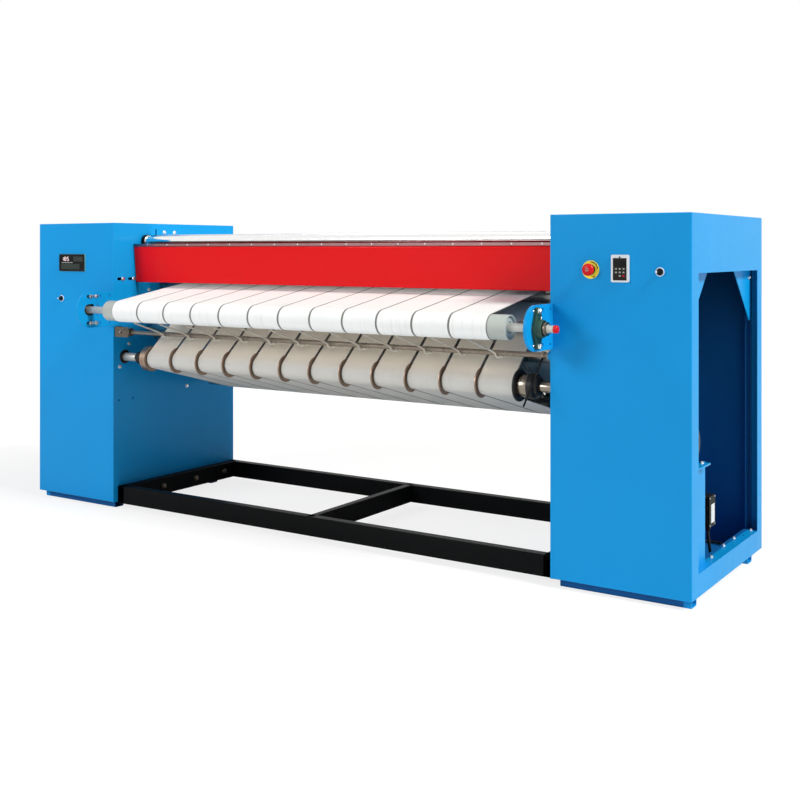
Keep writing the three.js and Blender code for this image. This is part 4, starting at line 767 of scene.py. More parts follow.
class Shape:
    """A mesh under construction, made of parts that each are closed or a single sheet."""

    def __init__(self, mesh: bmesh.types.BMesh | None = None) -> None:
        """Starts with nothing, or with a mesh."""
        self.mesh = bmesh.new() if mesh is None else mesh

    def take(self, part: bmesh.types.BMesh) -> "Shape":
        """Adds a part's mesh and lets the part go.

        Args:
            part: the part's mesh.

        Returns:
            The shape itself.
        """
        held = bpy.data.meshes.new("held")
        part.to_mesh(held)
        part.free()
        self.mesh.from_mesh(held)
        bpy.data.meshes.remove(held)
        return self

    def block(self, low: Sequence[float], high: Sequence[float], ease: float = 0.0,
              segments: int = 2, turn: Matrix | None = None) -> "Shape":
        """Adds a box.

        Args:
            low: one corner in millimetres.
            high: the opposite corner.
            ease: the width of its rounded edges.
            segments: faces across a rounding.
            turn: a turn about its own middle.

        Returns:
            The shape itself.
        """
        part = bmesh.new()
        bmesh.ops.create_cube(part, size=1.0)
        a, b = spot(*low), spot(*high)
        bmesh.ops.scale(part, vec=[abs(s) for s in b - a], verts=part.verts)
        eased(part, ease, segments)
        if turn is not None:
            bmesh.ops.transform(part, matrix=turn, verts=part.verts)
        bmesh.ops.translate(part, vec=(a + b) / 2, verts=part.verts)
        return self.take(part)

    def turned(self, profile: Sequence[Pair], place: Pair, along: Along = Along.X,
               sides: int = 72, ease: float = 0.0, closed: bool = False) -> "Shape":
        """Adds a body turned about an axis.

        Args:
            profile: its (place along the axis, radius) points in millimetres.
            place: where the axis lies on the two other axes, in order.
            along: the axis that it runs along.
            sides: faces round it.
            ease: the width of its rounded edges.
            closed: whether the profile is a ring that closes on itself.

        Returns:
            The shape itself.
        """
        points = list(profile)
        if not closed:
            points = ([(points[0][0], 0.0)] if points[0][1] > 0 else []) + points
            points += [(points[-1][0], 0.0)] if points[-1][1] > 0 else []
        part = bmesh.new()
        verts = [part.verts.new(along.place(distance, place[0], place[1] + radius))
                 for distance, radius in points]
        ends = [*zip(verts, verts[1:]), *([(verts[-1], verts[0])] if closed else [])]
        edges = [part.edges.new(pair) for pair in ends]
        bmesh.ops.spin(part, geom=[*verts, *edges], cent=along.place(0.0, *place),
                       axis=[float(n == along.value) for n in range(3)],
                       dvec=(0.0, 0.0, 0.0), angle=2 * math.pi, steps=sides, use_merge=True,
                       use_duplicate=False)
        eased(tidied(part), ease)
        return self.take(part)

    def rod(self, span: Pair, radius: float, place: Pair, **how: Any) -> "Shape":
        """Adds a plain round rod, with what else `turned` can be told."""
        return self.turned([(span[0], radius), (span[1], radius)], place, **how)

    def ring(self, span: Pair, radii: Pair, place: Pair, **how: Any) -> "Shape":
        """Adds a plain ring from its inner and outer radius, like `rod`.

        Args:
            span: where it starts and ends along its axis.
            radii: its inner and outer radius.
            place: where the axis lies on the two other axes.
            how: what else `turned` can be told.

        Returns:
            The shape itself.
        """
        (start, end), (inner, outer) = span, radii
        return self.turned([(start, inner), (start, outer), (end, outer), (end, inner)], place,
                           closed=True, **how)

    def plate(self, outline: Sequence[Pair], span: Pair, holes: Iterable[Sequence[Pair]] = (),
              along: Along = Along.X, ease: float = 0.0) -> "Shape":
        """Adds a flat plate with holes.

        Args:
            outline: its outline on the two other axes, in order.
            span: where it starts and ends across its thickness.
            holes: the outlines of its holes.
            along: the axis across which it is thick.
            ease: the width of its rounded edges.

        Returns:
            The shape itself.
        """
        curve = bpy.data.curves.new("outline", "CURVE")
        curve.dimensions = "2D"
        curve.fill_mode = "BOTH"
        curve.extrude = abs(span[1] - span[0]) / 2 * MM
        for points in (outline, *holes):
            spline = curve.splines.new("POLY")
            spline.points.add(len(points) - 1)
            for target, (u, v) in zip(spline.points, points):
                target.co = (u * MM, v * MM, 0.0, 1.0)
            spline.use_cyclic_u = True
        flat = self._from_curve(curve)
        turn = Matrix([[float(row == axis) for axis in along.order] for row in range(3)])
        middle = Matrix.Translation(along.place((span[0] + span[1]) / 2, 0.0, 0.0))
        bmesh.ops.transform(flat, matrix=middle @ turn.to_4x4(), verts=flat.verts)
        bmesh.ops.remove_doubles(flat, verts=flat.verts, dist=1e-6)
        bmesh.ops.dissolve_limit(flat, angle_limit=math.radians(0.5), verts=flat.verts,
                                 edges=flat.edges)
        bmesh.ops.recalc_face_normals(flat, faces=flat.faces)
        eased(flat, ease)
        return self.take(flat)

    def front(self, outline: Sequence[Pair], span: Pair, ease: float = 0.0,
              *holes: Sequence[Pair]) -> "Shape":
        """Adds a plate that faces forwards, with any holes."""
        return self.plate(outline, span, holes, Along.Y, ease)

    @staticmethod
    def _from_curve(curve: bpy.types.Curve) -> bmesh.types.BMesh:
        """Makes a curve a mesh and lets the curve go.

        Args:
            curve: the curve.

        Returns:
            Its mesh.
        """
        holder = bpy.data.objects.new("holder", curve)
        made = bpy.data.meshes.new_from_object(holder)
        part = bmesh.new()
        part.from_mesh(made)
        bpy.data.objects.remove(holder)
        bpy.data.curves.remove(curve)
        bpy.data.meshes.remove(made)
        return part

    def wire(self, points: Sequence[Vector], radius: float, smooth: bool = True,
             rounds: int = 3, fine: int = 5) -> "Shape":
        """Adds a round wire.

        Args:
            points: what it passes through, in metres.
            radius: its radius in millimetres.
            smooth: whether it bends softly at its points.
            rounds: how fine its section is.
            fine: sections in each stretch between two points.

        Returns:
            The shape itself.
        """
        curve = bpy.data.curves.new("wire", "CURVE")
        curve.dimensions = "3D"
        curve.bevel_depth = radius * MM
        curve.bevel_resolution = rounds
        curve.use_fill_caps = True
        curve.resolution_u = fine
        spline = curve.splines.new("BEZIER")
        spline.bezier_points.add(len(points) - 1)
        for target, point in zip(spline.bezier_points, points):
            target.co = point
            target.handle_left_type = target.handle_right_type = "AUTO" if smooth else "VECTOR"
        return self.take(tidied(self._from_curve(curve)))

    def bolt(self, place: Sequence[float], towards: Vector, size: float = 8.0,
             washer: float = 1.9) -> "Shape":
        """Adds a hexagon head on its washer.

        Args:
            place: the middle of its seat in millimetres.
            towards: the way it points.
            size: its thread's diameter.
            washer: the washer's radius over the thread's, or 0 for none.

        Returns:
            The shape itself.
        """
        part = bmesh.new()
        seat = 0.18 * size if washer else 0.0
        if washer:
            wide = size / 2 * washer
            self._disc(part, (wide * 1.18, wide * 1.1), (0.0, seat), 24)
        for radius, height, sides in ((0.9 * size, 0.65 * size, 6),
                                      (0.34 * size, 0.69 * size, 16)):
            high = seat + height
            made = self._disc(part, (radius, radius * 0.97), (seat, high), sides)
            rim = [e for e in {e for v in made for e in v.link_edges}
                   if all(v.co.z > high - 0.01 for v in e.verts)]
            eased(part, 0.09 * size / MM, 1, rim)
        bmesh.ops.scale(part, vec=(MM, MM, MM), verts=part.verts)
        turn = UP.rotation_difference(towards).to_matrix().to_4x4()
        bmesh.ops.transform(part, matrix=Matrix.Translation(spot(*place)) @ turn,
                            verts=part.verts)
        return self.take(part)

    @staticmethod
    def _disc(part: bmesh.types.BMesh, radii: Pair, span: Pair,
              sides: int) -> list[bmesh.types.BMVert]:
        """Adds a disc with two radii between two heights, and gives its corners.

        Args:
            part: the mesh that takes the disc.
            radii: its lower and upper radius.
            span: its lower and upper height.
            sides: the faces round it.

        Returns:
            Its corners.
        """
        return bmesh.ops.create_cone(
            part, cap_ends=True, segments=sides, radius1=radii[0], radius2=radii[1],
            depth=span[1] - span[0],
            matrix=Matrix.Translation((0, 0, (span[0] + span[1]) / 2)))["verts"]

    def piece(self, name: str, finish: Finish, node: str = "",
              body: Body = Body.FRAME) -> bpy.types.Object:
        """Ends the shape as a named piece.

        Args:
            name: the piece's name.
            finish: its finish.
            node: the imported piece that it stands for, if any.
            body: the body that it rides on.

        Returns:
            The piece.
        """
        hard = set(sharp_edges(self.mesh, 32.0))
        for face in self.mesh.faces:
            face.smooth = not level(face)
        for edge in self.mesh.edges:
            edge.smooth = edge not in hard
        data = bpy.data.meshes.new(name)
        self.mesh.to_mesh(data)
        self.mesh.free()
        made = shown(name, data)
        data.materials.append(finish.material())
        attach(made, body.value)
        if node:
            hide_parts(node)
        LOG.info("%s: %d faces on %s", name, len(data.polygons), body.value)
        return made


# ---------------------------------------------------------------- studio


@dataclass
class Studio:
    """Floor, backdrop, lamps and camera; places in metres."""

    camera_place: Place = (2.7056, -3.7512, 1.1327)
    camera_turn: float = 33.139
    lens: float = 51.09
    shift: float = -0.188
    ambient: float = 0.22
    aim: Place = (0.0, 0.0, 0.7)
    lamps: tuple[tuple[Place, float, float, Colour], ...] = (
        ((20.0, -2.2, 19.0), 7.5, 7400.0, (0.99, 1.0, 0.93)),
        ((-3.4, -7.0, 4.0), 3.0, 290.0, (0.98, 0.99, 1.0)))

    def build(self) -> None:
        """Makes the whole studio, the camera first."""
        self.camera()
        self.world()
        self.floor()
        for lamp in self.lamps:
            self.lamp(*lamp)
        bpy.context.scene.view_settings.view_transform = "Standard"

    def camera(self) -> None:
        """Puts the camera where the photograph was taken from."""
        data = bpy.data.cameras.new("camera")
        data.lens = self.lens
        data.shift_y = self.shift
        data.clip_end = 60.0
        made = shown("camera", data)
        made.location = self.camera_place
        made.rotation_euler = (math.radians(90), 0.0, math.radians(self.camera_turn))
        bpy.context.scene.camera = made

    def world(self) -> None:
        """Lights all round evenly, and shows plain white behind the machine."""
        world = bpy.data.worlds.new("studio")
        bpy.context.scene.world = world
        graph = Graph(world)
        path = graph.node("ShaderNodeLightPath")
        seen = path.most(path.other("Is Glossy Ray")).most(path.other("Is Transmission Ray"))
        light, white = (
            graph.node("ShaderNodeBackground", {"Color": (1.0, 1.0, 1.0), "Strength": strength})
            for strength in (self.ambient, 1.0))
        graph.node("ShaderNodeOutputWorld", {"Surface": graph.mix_shader(seen, light, white)})

    def floor(self) -> None:
        """Lays a plain pale floor that keeps the machine's shadow."""
        graph = Graph(bpy.data.materials.new("floor"))
        seen = graph.node("ShaderNodeLightPath")
        plain = graph.node("ShaderNodeBsdfDiffuse", {"Color": (0.88, 0.88, 0.88)})
        white = graph.node("ShaderNodeEmission", {"Color": (1.0, 1.0, 1.0), "Strength": 1.08})
        far = graph.node("ShaderNodeVectorMath", {"Vector": graph.place()}, operation="LENGTH")
        share = seen * (0.74 + far.rise(1.6, 4.2) * 0.26)
        graph.node("ShaderNodeOutputMaterial", {
            "Surface": graph.mix_shader(share, plain, white)})
        part = bmesh.new()
        bmesh.ops.create_grid(part, x_segments=1, y_segments=1, size=25.0)
        data = bpy.data.meshes.new("floor")
        part.to_mesh(data)
        part.free()
        data.materials.append(graph.owner)
        shown("floor", data)

    def lamp(self, place: Place, size: float, power: float, colour: Colour) -> None:
        """Hangs one soft lamp that looks at the machine's middle.

        Args:
            place: its place in metres.
            size: its width in metres.
            power: its power in watts.
            colour: the colour of its light.
        """
        data = bpy.data.lights.new("lamp", "AREA")
        data.shape = "DISK"
        data.size = size
        data.energy = power
        data.color = colour
        made = shown("lamp", data)
        made.location = place
        away = Vector(place) - Vector(self.aim)
        made.rotation_euler = away.to_track_quat("Z", "Y").to_euler()


# ---------------------------------------------------------------- cable


@dataclass
class ControlCable:
    """The free cable on the right cabinet's floor, from the black box to its gland."""

    radius: float = 5.0
    steps: int = 10
    turn: Place = (1365.3, 680.0, 55.0)
    floor: float = 39.8

    def route(self) -> list[Place]:
        """Gives the points that the cable passes: down, round on the floor and to the gland.

        Returns:
            The points in millimetres, from the box to the gland.
        """
        (x, y, z), (gx, gy, gz) = CABLE_ENTRY, CABLE_GLAND
        (cx, cy, radius), low = self.turn, self.floor
        loop = [(*place, low) for place in arc(cx, cy, radius, 0, 180, 4)]
        left = cx - radius
        return [(x, y, z), (x, y, z - 16), (x - 1, y + 14, z - 66), (x - 6, y + 50, low + 28),
                (x - 18, y + 110, low + 3), (x - 30, y + 190, low), *loop,
                (left + 10, cy - 70, low), (left + 32, cy - 150, low),
                (left + 58, cy - 240, low), (left + 70, cy - 320, low),
                (gx - 24, gy + 275, low), (gx - 13, gy + 175, low), (gx - 3, gy + 95, low + 1),
                (gx, gy + 50, low + 7), (gx, gy + 16, gz), (gx, gy, gz)]

    def path(self) -> list[Vector]:
        """Gives close points in metres on the cable's centre line.

        Returns:
            The points, from the box to the gland.
        """
        places = [spot(*p) for p in self.route()]
        ends = [2 * places[0] - places[1], *places, 2 * places[-1] - places[-2]]
        line = [self.between(four, n / self.steps)
                for four in zip(ends, ends[1:], ends[2:], ends[3:]) for n in range(self.steps)]
        return [*line, places[-1]]

    @staticmethod
    def between(places: Sequence[Vector], share: float) -> Vector:
        """Gives a point of the centripetal curve through four places.

        Args:
            places: the place before a stretch, the stretch's two ends and the place after it.
            share: how far along the stretch the point is, from 0 to 1.

        Returns:
            The point.
        """
        a, b, c, d = places
        times = [0.0]
        for p, q in zip(places, places[1:]):
            times.append(times[-1] + (q - p).length ** 0.5)
        t0, t1, t2, t3 = times
        now = t1 + (t2 - t1) * share

        def mix(p: Vector, q: Vector, low: float, high: float) -> Vector:
            """Goes from one place to the other between two times."""
            return p * ((high - now) / (high - low)) + q * ((now - low) / (high - low))

        ab, bc, cd = mix(a, b, t0, t1), mix(b, c, t1, t2), mix(c, d, t2, t3)
        return mix(mix(ab, bc, t0, t2), mix(bc, cd, t1, t3), t1, t2)

    def build(self) -> None:
        """Makes the cable and logs its length."""
        path = self.path()
        made = Shape().wire(path, self.radius, rounds=5, fine=1).piece(
            "cable", RUBBER, "control_cable")
        length = sum((q - p).length for p, q in zip(path, path[1:]))
        LOG.info("cable: %.3f m long", length)


# ---------------------------------------------------------------- structure


@dataclass
class SidePlates:
    """The two steel plates with forward ears that carry every roller."""

    ear_reach: float = 202.0
    ear_radius: float = 76.0
    bosses: tuple[tuple[Pair, float], ...] = (
        (NIP_AXIS, JOURNAL), (DELIVERY_AXIS, JOURNAL), (NOSE_AXIS, JOURNAL),
        (TAIL_AXIS, JOURNAL), (DRUM_AXIS, 34.0))
    bolts: tuple[Pair, ...] = ((308, 1212), (372, 1212), (212, 952), (92, 716), (37, 619),
                               (453, 494), (55, 1004), (118, 1004))
    holes: tuple[Pair, ...] = ((32, 473), (116, 473), (-22, 935), (-22, 817))

    def outline(self) -> list[Pair]:
        """Gives the plate's outline with its ear, on y and z.

        Returns:
            The outline.
        """
        z, radius = FEED_AXIS[1], self.ear_radius
        return [(0, 30), (DEPTH, 30), (DEPTH, HEIGHT), (0, HEIGHT), (0, z + radius),
                *arc(radius - self.ear_reach, z, radius, 90, 270, 40), (0, z - radius)]

    def openings(self) -> list[list[Pair]]:
        """Gives the outlines of the plate's holes and slots.

        Returns:
            One outline for each.
        """
        y, z = FEED_AXIS
        return [slot(y + 10.75, z, 86, 48), slot(y + 20, z + BEARING_BOLT, 80, 14),
                slot(y + 20, z - BEARING_BOLT, 80, 14), slot(46, 1004, 47, 12),
                slot(109, 1004, 47, 12), slot(255, 1212, 8, 30),
                *(round_hole(*at, 5, 20) for at in self.holes),
                *(round_hole(*at, radius + 0.4, 40) for at, radius in self.bosses)]

    def build(self) -> None:
        """Makes both plates with their bosses, bolts and the delivery roller's seals."""
        for side, name in ((-1, "left_side_plate"), (1, "right_side_plate")):
            plate = Shape().plate(self.outline(), (side * PLATE_IN, side * PLATE_OUT),
                                  self.openings(), ease=0.8)
            for at, radius in self.bosses:
                plate.ring((side * (PLATE_OUT - 1), side * (PLATE_OUT + 26)),
                           (radius + 0.4, radius + 16), at, ease=1.2)
            if side > 0:
                plate.ring((PLATE_IN - 12, PLATE_IN + 1), (9.4, 17), BAR_AXIS, ease=0.8,
                           sides=48)
            plate.piece(f"{name}_look", BLUE, name)
            heads, inwards = Shape(), RIGHT * -side
            for y, z in self.bolts:
                heads.bolt((side * PLATE_IN, y, z), inwards)
            for dz in (BEARING_BOLT, -BEARING_BOLT):
                for face, way in ((PLATE_IN, inwards), (PLATE_OUT, -inwards)):
                    heads.bolt((side * face, FEED_AXIS[0] + 32, FEED_AXIS[1] + dz), way)
            heads.piece(f"{name}_bolts", ZINC)
            seal = off(side, PLATE_IN, (0, 14.6), (0, 30), (-3, 30), (-4, 29), (-4, 14.6))
            Shape().turned(seal, DELIVERY_AXIS, closed=True).piece(f"{name}_seal", BLACK_RUBBER)


@dataclass
class Cabinet:
    """One folded sheet cabinet with the frame of its open side."""

    side: int
    sheet: float = 2.0
    fold: float = 3.2
    opening: tuple[Pair, Pair] = ((64.0, 722.0), (105.0, 1058.0))

    def shell(self) -> Shape:
        """Makes the casing: a rounded box without its inner wall, cut for its opening.

        Returns:
            The casing, as thick as its sheet.
        """
        part = bmesh.new()
        bmesh.ops.create_cube(part, size=1.0)
        low, high = spot(CABINET_IN, 0, 30), spot(CABINET_OUT, DEPTH, HEIGHT)
        bmesh.ops.scale(part, vec=high - low, verts=part.verts)
        bmesh.ops.translate(part, vec=(low + high) / 2, verts=part.verts)
        inner = low.x + 1e-6
        eased(part, self.fold, 4,
              [e for e in part.edges if any(v.co.x > inner for v in e.verts)])
        open_wall = [f for f in part.faces if f.normal.x < -0.99]
        bmesh.ops.delete(part, geom=open_wall, context="FACES")
        self._cut(part, high.x - 1e-4)
        bmesh.ops.recalc_face_normals(part, faces=part.faces)
        if sum((f.normal.x * f.calc_area() for f in part.faces), 0.0) < 0:
            bmesh.ops.reverse_faces(part, faces=part.faces)
        bmesh.ops.solidify(part, geom=part.faces[:], thickness=self.sheet * MM)
        bmesh.ops.recalc_face_normals(part, faces=part.faces)
        if self.side < 0:
            bmesh.ops.scale(part, vec=(-1, 1, 1), verts=part.verts)
            bmesh.ops.reverse_faces(part, faces=part.faces)
        return Shape(part)

    def _cut(self, part: bmesh.types.BMesh, outer: float) -> None:
        """Cuts the opening out of the outer wall, which lies past the given x in metres.

        Args:
            part: the casing's sheet.
            outer: the x in metres.
        """
        for normal, places in zip(((0, 1, 0), (0, 0, 1)), self.opening):
            for place in places:
                wall = [f for f in part.faces if f.calc_center_median().x > outer]
                rims = {e for f in wall for e in f.edges}
                points = {v for f in wall for v in f.verts}
                bmesh.ops.bisect_plane(part, geom=[*wall, *rims, *points], plane_no=normal,
                                       plane_co=spot(0, place, place))
        low, high = (spot(0, *corner) for corner in zip(*self.opening))
        gone = []
        for face in part.faces:
            middle = face.calc_center_median()
            if (middle.x > outer and low.y < middle.y < high.y
                    and low.z < middle.z < high.z):
                gone.append(face)
        bmesh.ops.delete(part, geom=gone, context="FACES")

    @staticmethod
    def neck(shape: Shape, place: Pair) -> None:
        """Adds the round neck in the front wall that a selector sits in."""
        shape.turned([(1, 6.7), (-4, 6.7), (-4, 13), (-2, 15), (1, 15)], place, Along.Y,
                     closed=True, ease=0.3)


@dataclass
class LeftCabinet(Cabinet):
    """The cabinet with the heat controller and the cover on its outer side."""

    side: int = -1
    middle: Pair = (393.0, 581.5)

    def build(self) -> None:
        """Makes the casing with the lip round its opening, and the cover in that lip."""
        lip, window, cover = (rounded(*self.middle, *size) for size in (
            (676, 971, 3), (622, 917, 3), (655, 950, 4)))
        shell = self.shell().plate(lip, (4.9 - CABINET_OUT, 1.9 - CABINET_OUT), [window])
        self.neck(shell, SELECTOR_LEFT)
        shell.piece("left_cabinet_look", BLUE, "left_cabinet")
        Shape().plate(cover, (1.6 - CABINET_OUT, -CABINET_OUT), ease=0.4).piece(
            "left_cover_look", BLUE, "left_side_cover")


@dataclass
class RightCabinet(Cabinet):
    """The open cabinet with the drive, its shelf and stiffening frame."""

    side: int = 1
    post: float = 48.0
    header: float = 1058.0
    gusset_height: float = 185.0
    gusset_length: float = 200.0

    def build(self) -> None:
        """Makes the casing, its frame, the shelf and the screws."""
        shape = self.shell()
        self.frame_in(shape)
        self.gussets(shape)
        self.neck(shape, SELECTOR_RIGHT)
        x, _, z = CABLE_GLAND
        shape.rod((1, 12), 9, (x, z), along=Along.Y, ease=0.8, sides=32)
        self.shelf(shape)
        shape.piece("right_cabinet_look", BLUE, "right_cabinet")
        self.screws()

    def frame_in(self, shape: Shape) -> None:
        """Adds the sill, the posts and the header round the opening.

        Args:
            shape: the cabinet's shape, which takes them.
        """
        wall, back, post_x = CABINET_OUT - 1, DEPTH - 1, CABINET_OUT - self.post
        sill = [(CABINET_OUT - 52, 1), (wall, 1), (wall, back), (CABINET_OUT - 52, back)]
        holes = [round_hole(1506.3, y, 6, 24) for y in (118, 630)]
        shape.plate(sill, (102, 105), holes, Along.Z, 0.5)
        for y in (1, back - self.post):
            shape.block((post_x, y, 31), (post_x + 3, y + self.post, HEIGHT - 1), 0.5)
        shape.block((post_x, 1, self.header), (wall, back, self.header + 3), 0.5)

    def gussets(self, shape: Shape) -> None:
        """Adds the corner gussets below the header.

        Args:
            shape: the cabinet's shape, which takes them.
        """
        top = self.header + 1
        low = top - self.gusset_height
        for first, way in ((45.0, 1), (DEPTH - 45.0, -1)):
            start = first - way * 3
            points = [(start, top), (start, low), (first + way * 14, low),
                      (first + way * self.gusset_length, top)]
            shape.plate(points, (CABINET_OUT - 33, CABINET_OUT - 30), ease=0.6)
            near, far = sorted((start, first + way * 12))
            shape.block((CABINET_OUT - 47, near, low), (CABINET_OUT - 31, far, top), 0.6)

    @staticmethod
    def shelf(shape: Shape) -> None:
        """Adds the motor's shelf with the upright panel under it and a stiffener.

        Args:
            shape: the cabinet's shape, which takes them.
        """
        inner, face = CABINET_IN + 86, CABINET_OUT - 31
        shape.block((inner, 1, 432), (CABINET_OUT - 1, 188, 438), 0.8)
        shape.block((face - 2, 1, 31), (face + 1, 220, 435), 0.6)
        shape.block((inner, 182, 396), (face, 185, 435), 0.6)

    @staticmethod
    def screws() -> None:
        """Adds the bolts inside the opening."""
        heads = Shape()
        for y in (722, 60):
            heads.bolt((CABINET_OUT - 30, y, 1030), RIGHT, 6.0)
        for place in ((1508, 168, 438), (1508, 60, 105), (1508, 722, 105), (1501, 285, 105),
                      (1490, 454, 105), (1490, 573, 105)):
            heads.bolt(place, UP, 7.0)
        for y in (150, 260, 560):
            heads.bolt((1440, y, 32), UP, 6.0)
        heads.piece("right_cabinet_screws", ZINC)


@dataclass
class FootRails:
    """Hollow rails under the cabinets."""

    width: float = 50.0
    height: float = 29.7
    wall: float = 4.0
    radius: float = 6.0

    def build(self) -> None:
        """Makes the four rails, with round corners and open ends."""
        for side, side_name in ((-1, "left"), (1, "right")):
            ends = (side * (CABINET_IN + 12), side * (CABINET_OUT - 12))
            for y, row in ((30.0, "front"), (640.0, "rear")):
                middle = (y + self.width / 2, self.height / 2)
                outer = rounded(*middle, self.width, self.height, self.radius)
                inner = rounded(*middle, self.width - 2 * self.wall,
                                self.height - 2 * self.wall, 2.5)
                Shape().plate(outer, ends, [inner], ease=0.4).piece(
                    f"foot_{row}_{side_name}", BLUE, f"foot_rail_{row}_{side_name}")


@dataclass
class BaseFrame:
    """The welded black frame between the side plates."""

    front: float = 24.0
    back: float = 776.0
    low: float = 24.0
    high: float = 99.0
    beam: float = 40.0
    bolt_places: tuple[float, ...] = (264.6, 475.2, 670.7)

    def section(self, shape: Shape, start: Pair, end: Pair) -> None:
        """Adds a box section between two corners on x and y."""
        shape.block((*start, self.low), (*end, self.high), 3.0, 3)

    def build(self) -> None:
        """Makes rails, beams and cross member with weld beads, and the rails' bolts."""
        shape, heads = Shape(), Shape()
        inner = WALL - self.beam
        for side in (-1, 1):
            self.section(shape, (side * inner, self.front), (side * WALL, self.back))
        for y in (self.front, self.back - self.beam):
            self.section(shape, (-WALL + 1, y), (WALL - 1, y + self.beam))
        self.section(shape, (-10, self.front + 1), (22, self.back - 1))
        for side in (-1, 1):
            shape.wire([spot(side * inner, 64, z) for z in (28, 50, 75, 97)], 2.2, rounds=2)
            for y in self.bolt_places:
                heads.bolt((side * inner, y, (self.low + self.high) / 2), RIGHT * -side, 11.0)
        shape.piece("base_frame_look", BLACK, "base_frame")
        heads.piece("base_frame_bolts", DARK)


# ---------------------------------------------------------------- rollers and belts


@dataclass
class FeedRoller:
    """The light grey tube that the feed belts run over, with its shaft and end discs."""

    ends: Pair = (-928.0, 966.0)
    bore: float = FEED_RADIUS - 4.0
    shaft: float = 15.0
    stub: float = 12.0
    shoulder: float = 1104.0

    def build(self) -> None:
        """Makes the tube, its end discs, the shaft and the red cap."""
        Shape().ring(self.ends, (self.bore, FEED_RADIUS), FEED_AXIS, ease=0.8, sides=96).piece(
            "feed_tube", GREY, "feed_roller", Body.FEED)
        discs = Shape()
        rim = self.bore - 0.1
        for end, way in zip(self.ends, (1, -1)):
            profile = [(end + way * inset, radius) for inset, radius in (
                (9, 15.5), (9, 20), (6.5, 21.5), (6.5, 30), (9, 32), (9, rim), (15, rim),
                (15, 15.5))]
            discs.turned(profile, FEED_AXIS, closed=True, ease=0.5)
        discs.piece("feed_tube_discs", GREY, body=Body.FEED)
        shoulder, stub, shaft = self.shoulder, self.stub, self.shaft
        self.solid("feed_shaft", SHAFT, (-shoulder - 14, stub), (-shoulder, stub),
                   (-shoulder, shaft), (shoulder, shaft), (shoulder, stub),
                   (PLATE_OUT + 66.5, stub))
        self.solid("feed_shaft_cap", STOP_RED, (PLATE_OUT + 66, 13), (PLATE_OUT + 77, 13),
                   (PLATE_OUT + 80, 10))

    @staticmethod
    def solid(name: str, finish: Finish, *profile: Pair) -> None:
        """Makes a solid piece that turns with the roller."""
        Shape().turned(profile, FEED_AXIS, ease=0.8, sides=48).piece(
            name, finish, body=Body.FEED)


@dataclass
class FeedBearing:
    """A two-bolt cast flange bearing on an ear."""

    side: int
    name: str
    boss: float = 33.0
    lobe: float = 12.0
    thick: float = 13.0

    def outline(self) -> list[Pair]:
        """Gives the oval flange's outline, on y and z.

        Returns:
            The outline.
        """
        (y, z), boss, lobe = FEED_AXIS, self.boss, self.lobe
        lean = math.degrees(math.asin((boss - lobe) / BEARING_BOLT))
        return [*arc(y, z + BEARING_BOLT, lobe, lean, 180 - lean, 16),
                *arc(y, z, boss, 180 - lean, 180 + lean, 12),
                *arc(y, z - BEARING_BOLT, lobe, 180 + lean, 360 - lean, 16),
                *arc(y, z, boss, -lean, lean, 12)]

    def build(self) -> None:
        """Makes the casting, its insert and collar, the bolts and the grease nipple."""
        side, (y, z), thick = self.side, FEED_AXIS, self.thick
        base = PLATE_OUT + 0.3
        body = Shape().plate(self.outline(), (side * base, side * (base + thick)),
                             [round_hole(y, z, 22, 48)], ease=2.2)
        body.turned(off(side, base, (0, 22), (0, 31.5), (thick, 31.5), (26, 30), (31.5, 28),
                        (31.5, 24), (27, 22)), FEED_AXIS, closed=True, ease=1.4)
        body.piece(f"{self.name}_casting", GREEN, self.name)
        insert = Shape().ring((side * (base + 1), side * (base + 28)), (15.6, 21.8), FEED_AXIS,
                              ease=0.5)
        insert.turned(off(side, base, (29, 15.5), (29, 21), (33.5, 22.8), (43.5, 22.8),
                          (43.5, 15.5)), FEED_AXIS, closed=True, ease=0.9)
        insert.piece(f"{self.name}_collar", DARK)
        heads, outwards = Shape(), RIGHT * side
        for at in ((y, z + BEARING_BOLT), (y, z - BEARING_BOLT)):
            heads.bolt((side * (base + thick), *at), outwards, 10.0, 1.7)
            heads.rod((side * (base - 0.2), side * (PLATE_IN - 6)), 5, at, sides=24)
            heads.bolt((side * WALL, *at), -outwards, 10.0, 0)
        heads.rod((side * (base + 19), side * (base + 23)), 2.4, (y, z + 32.5), sides=16)
        heads.turned([(z + 29, 3), (z + 34, 3), (z + 34.5, 1.6), (z + 37, 2.4), (z + 39, 1.4)],
                     (side * (base + 20), y), Along.Z, sides=20)
        heads.piece(f"{self.name}_bolts", ZINC)


@dataclass
class PlainRoller:
    """A steel roller whose journals run in the side plates."""

    name: str
    axis: Pair
    radius: float
    body: Body
    face: float = 987.0
    end: float = 1087.0

    def build(self) -> None:
        """Makes the roller with eased shoulders and journals."""
        face, end, radius = self.face, self.end, self.radius
        profile = [(-end, JOURNAL), (-face, JOURNAL), (-face, radius), (face, radius),
                   (face, JOURNAL), (end, JOURNAL)]
        Shape().turned(profile, self.axis, ease=1.2).piece(
            f"{self.name}_look", TURNED, self.name, self.body)


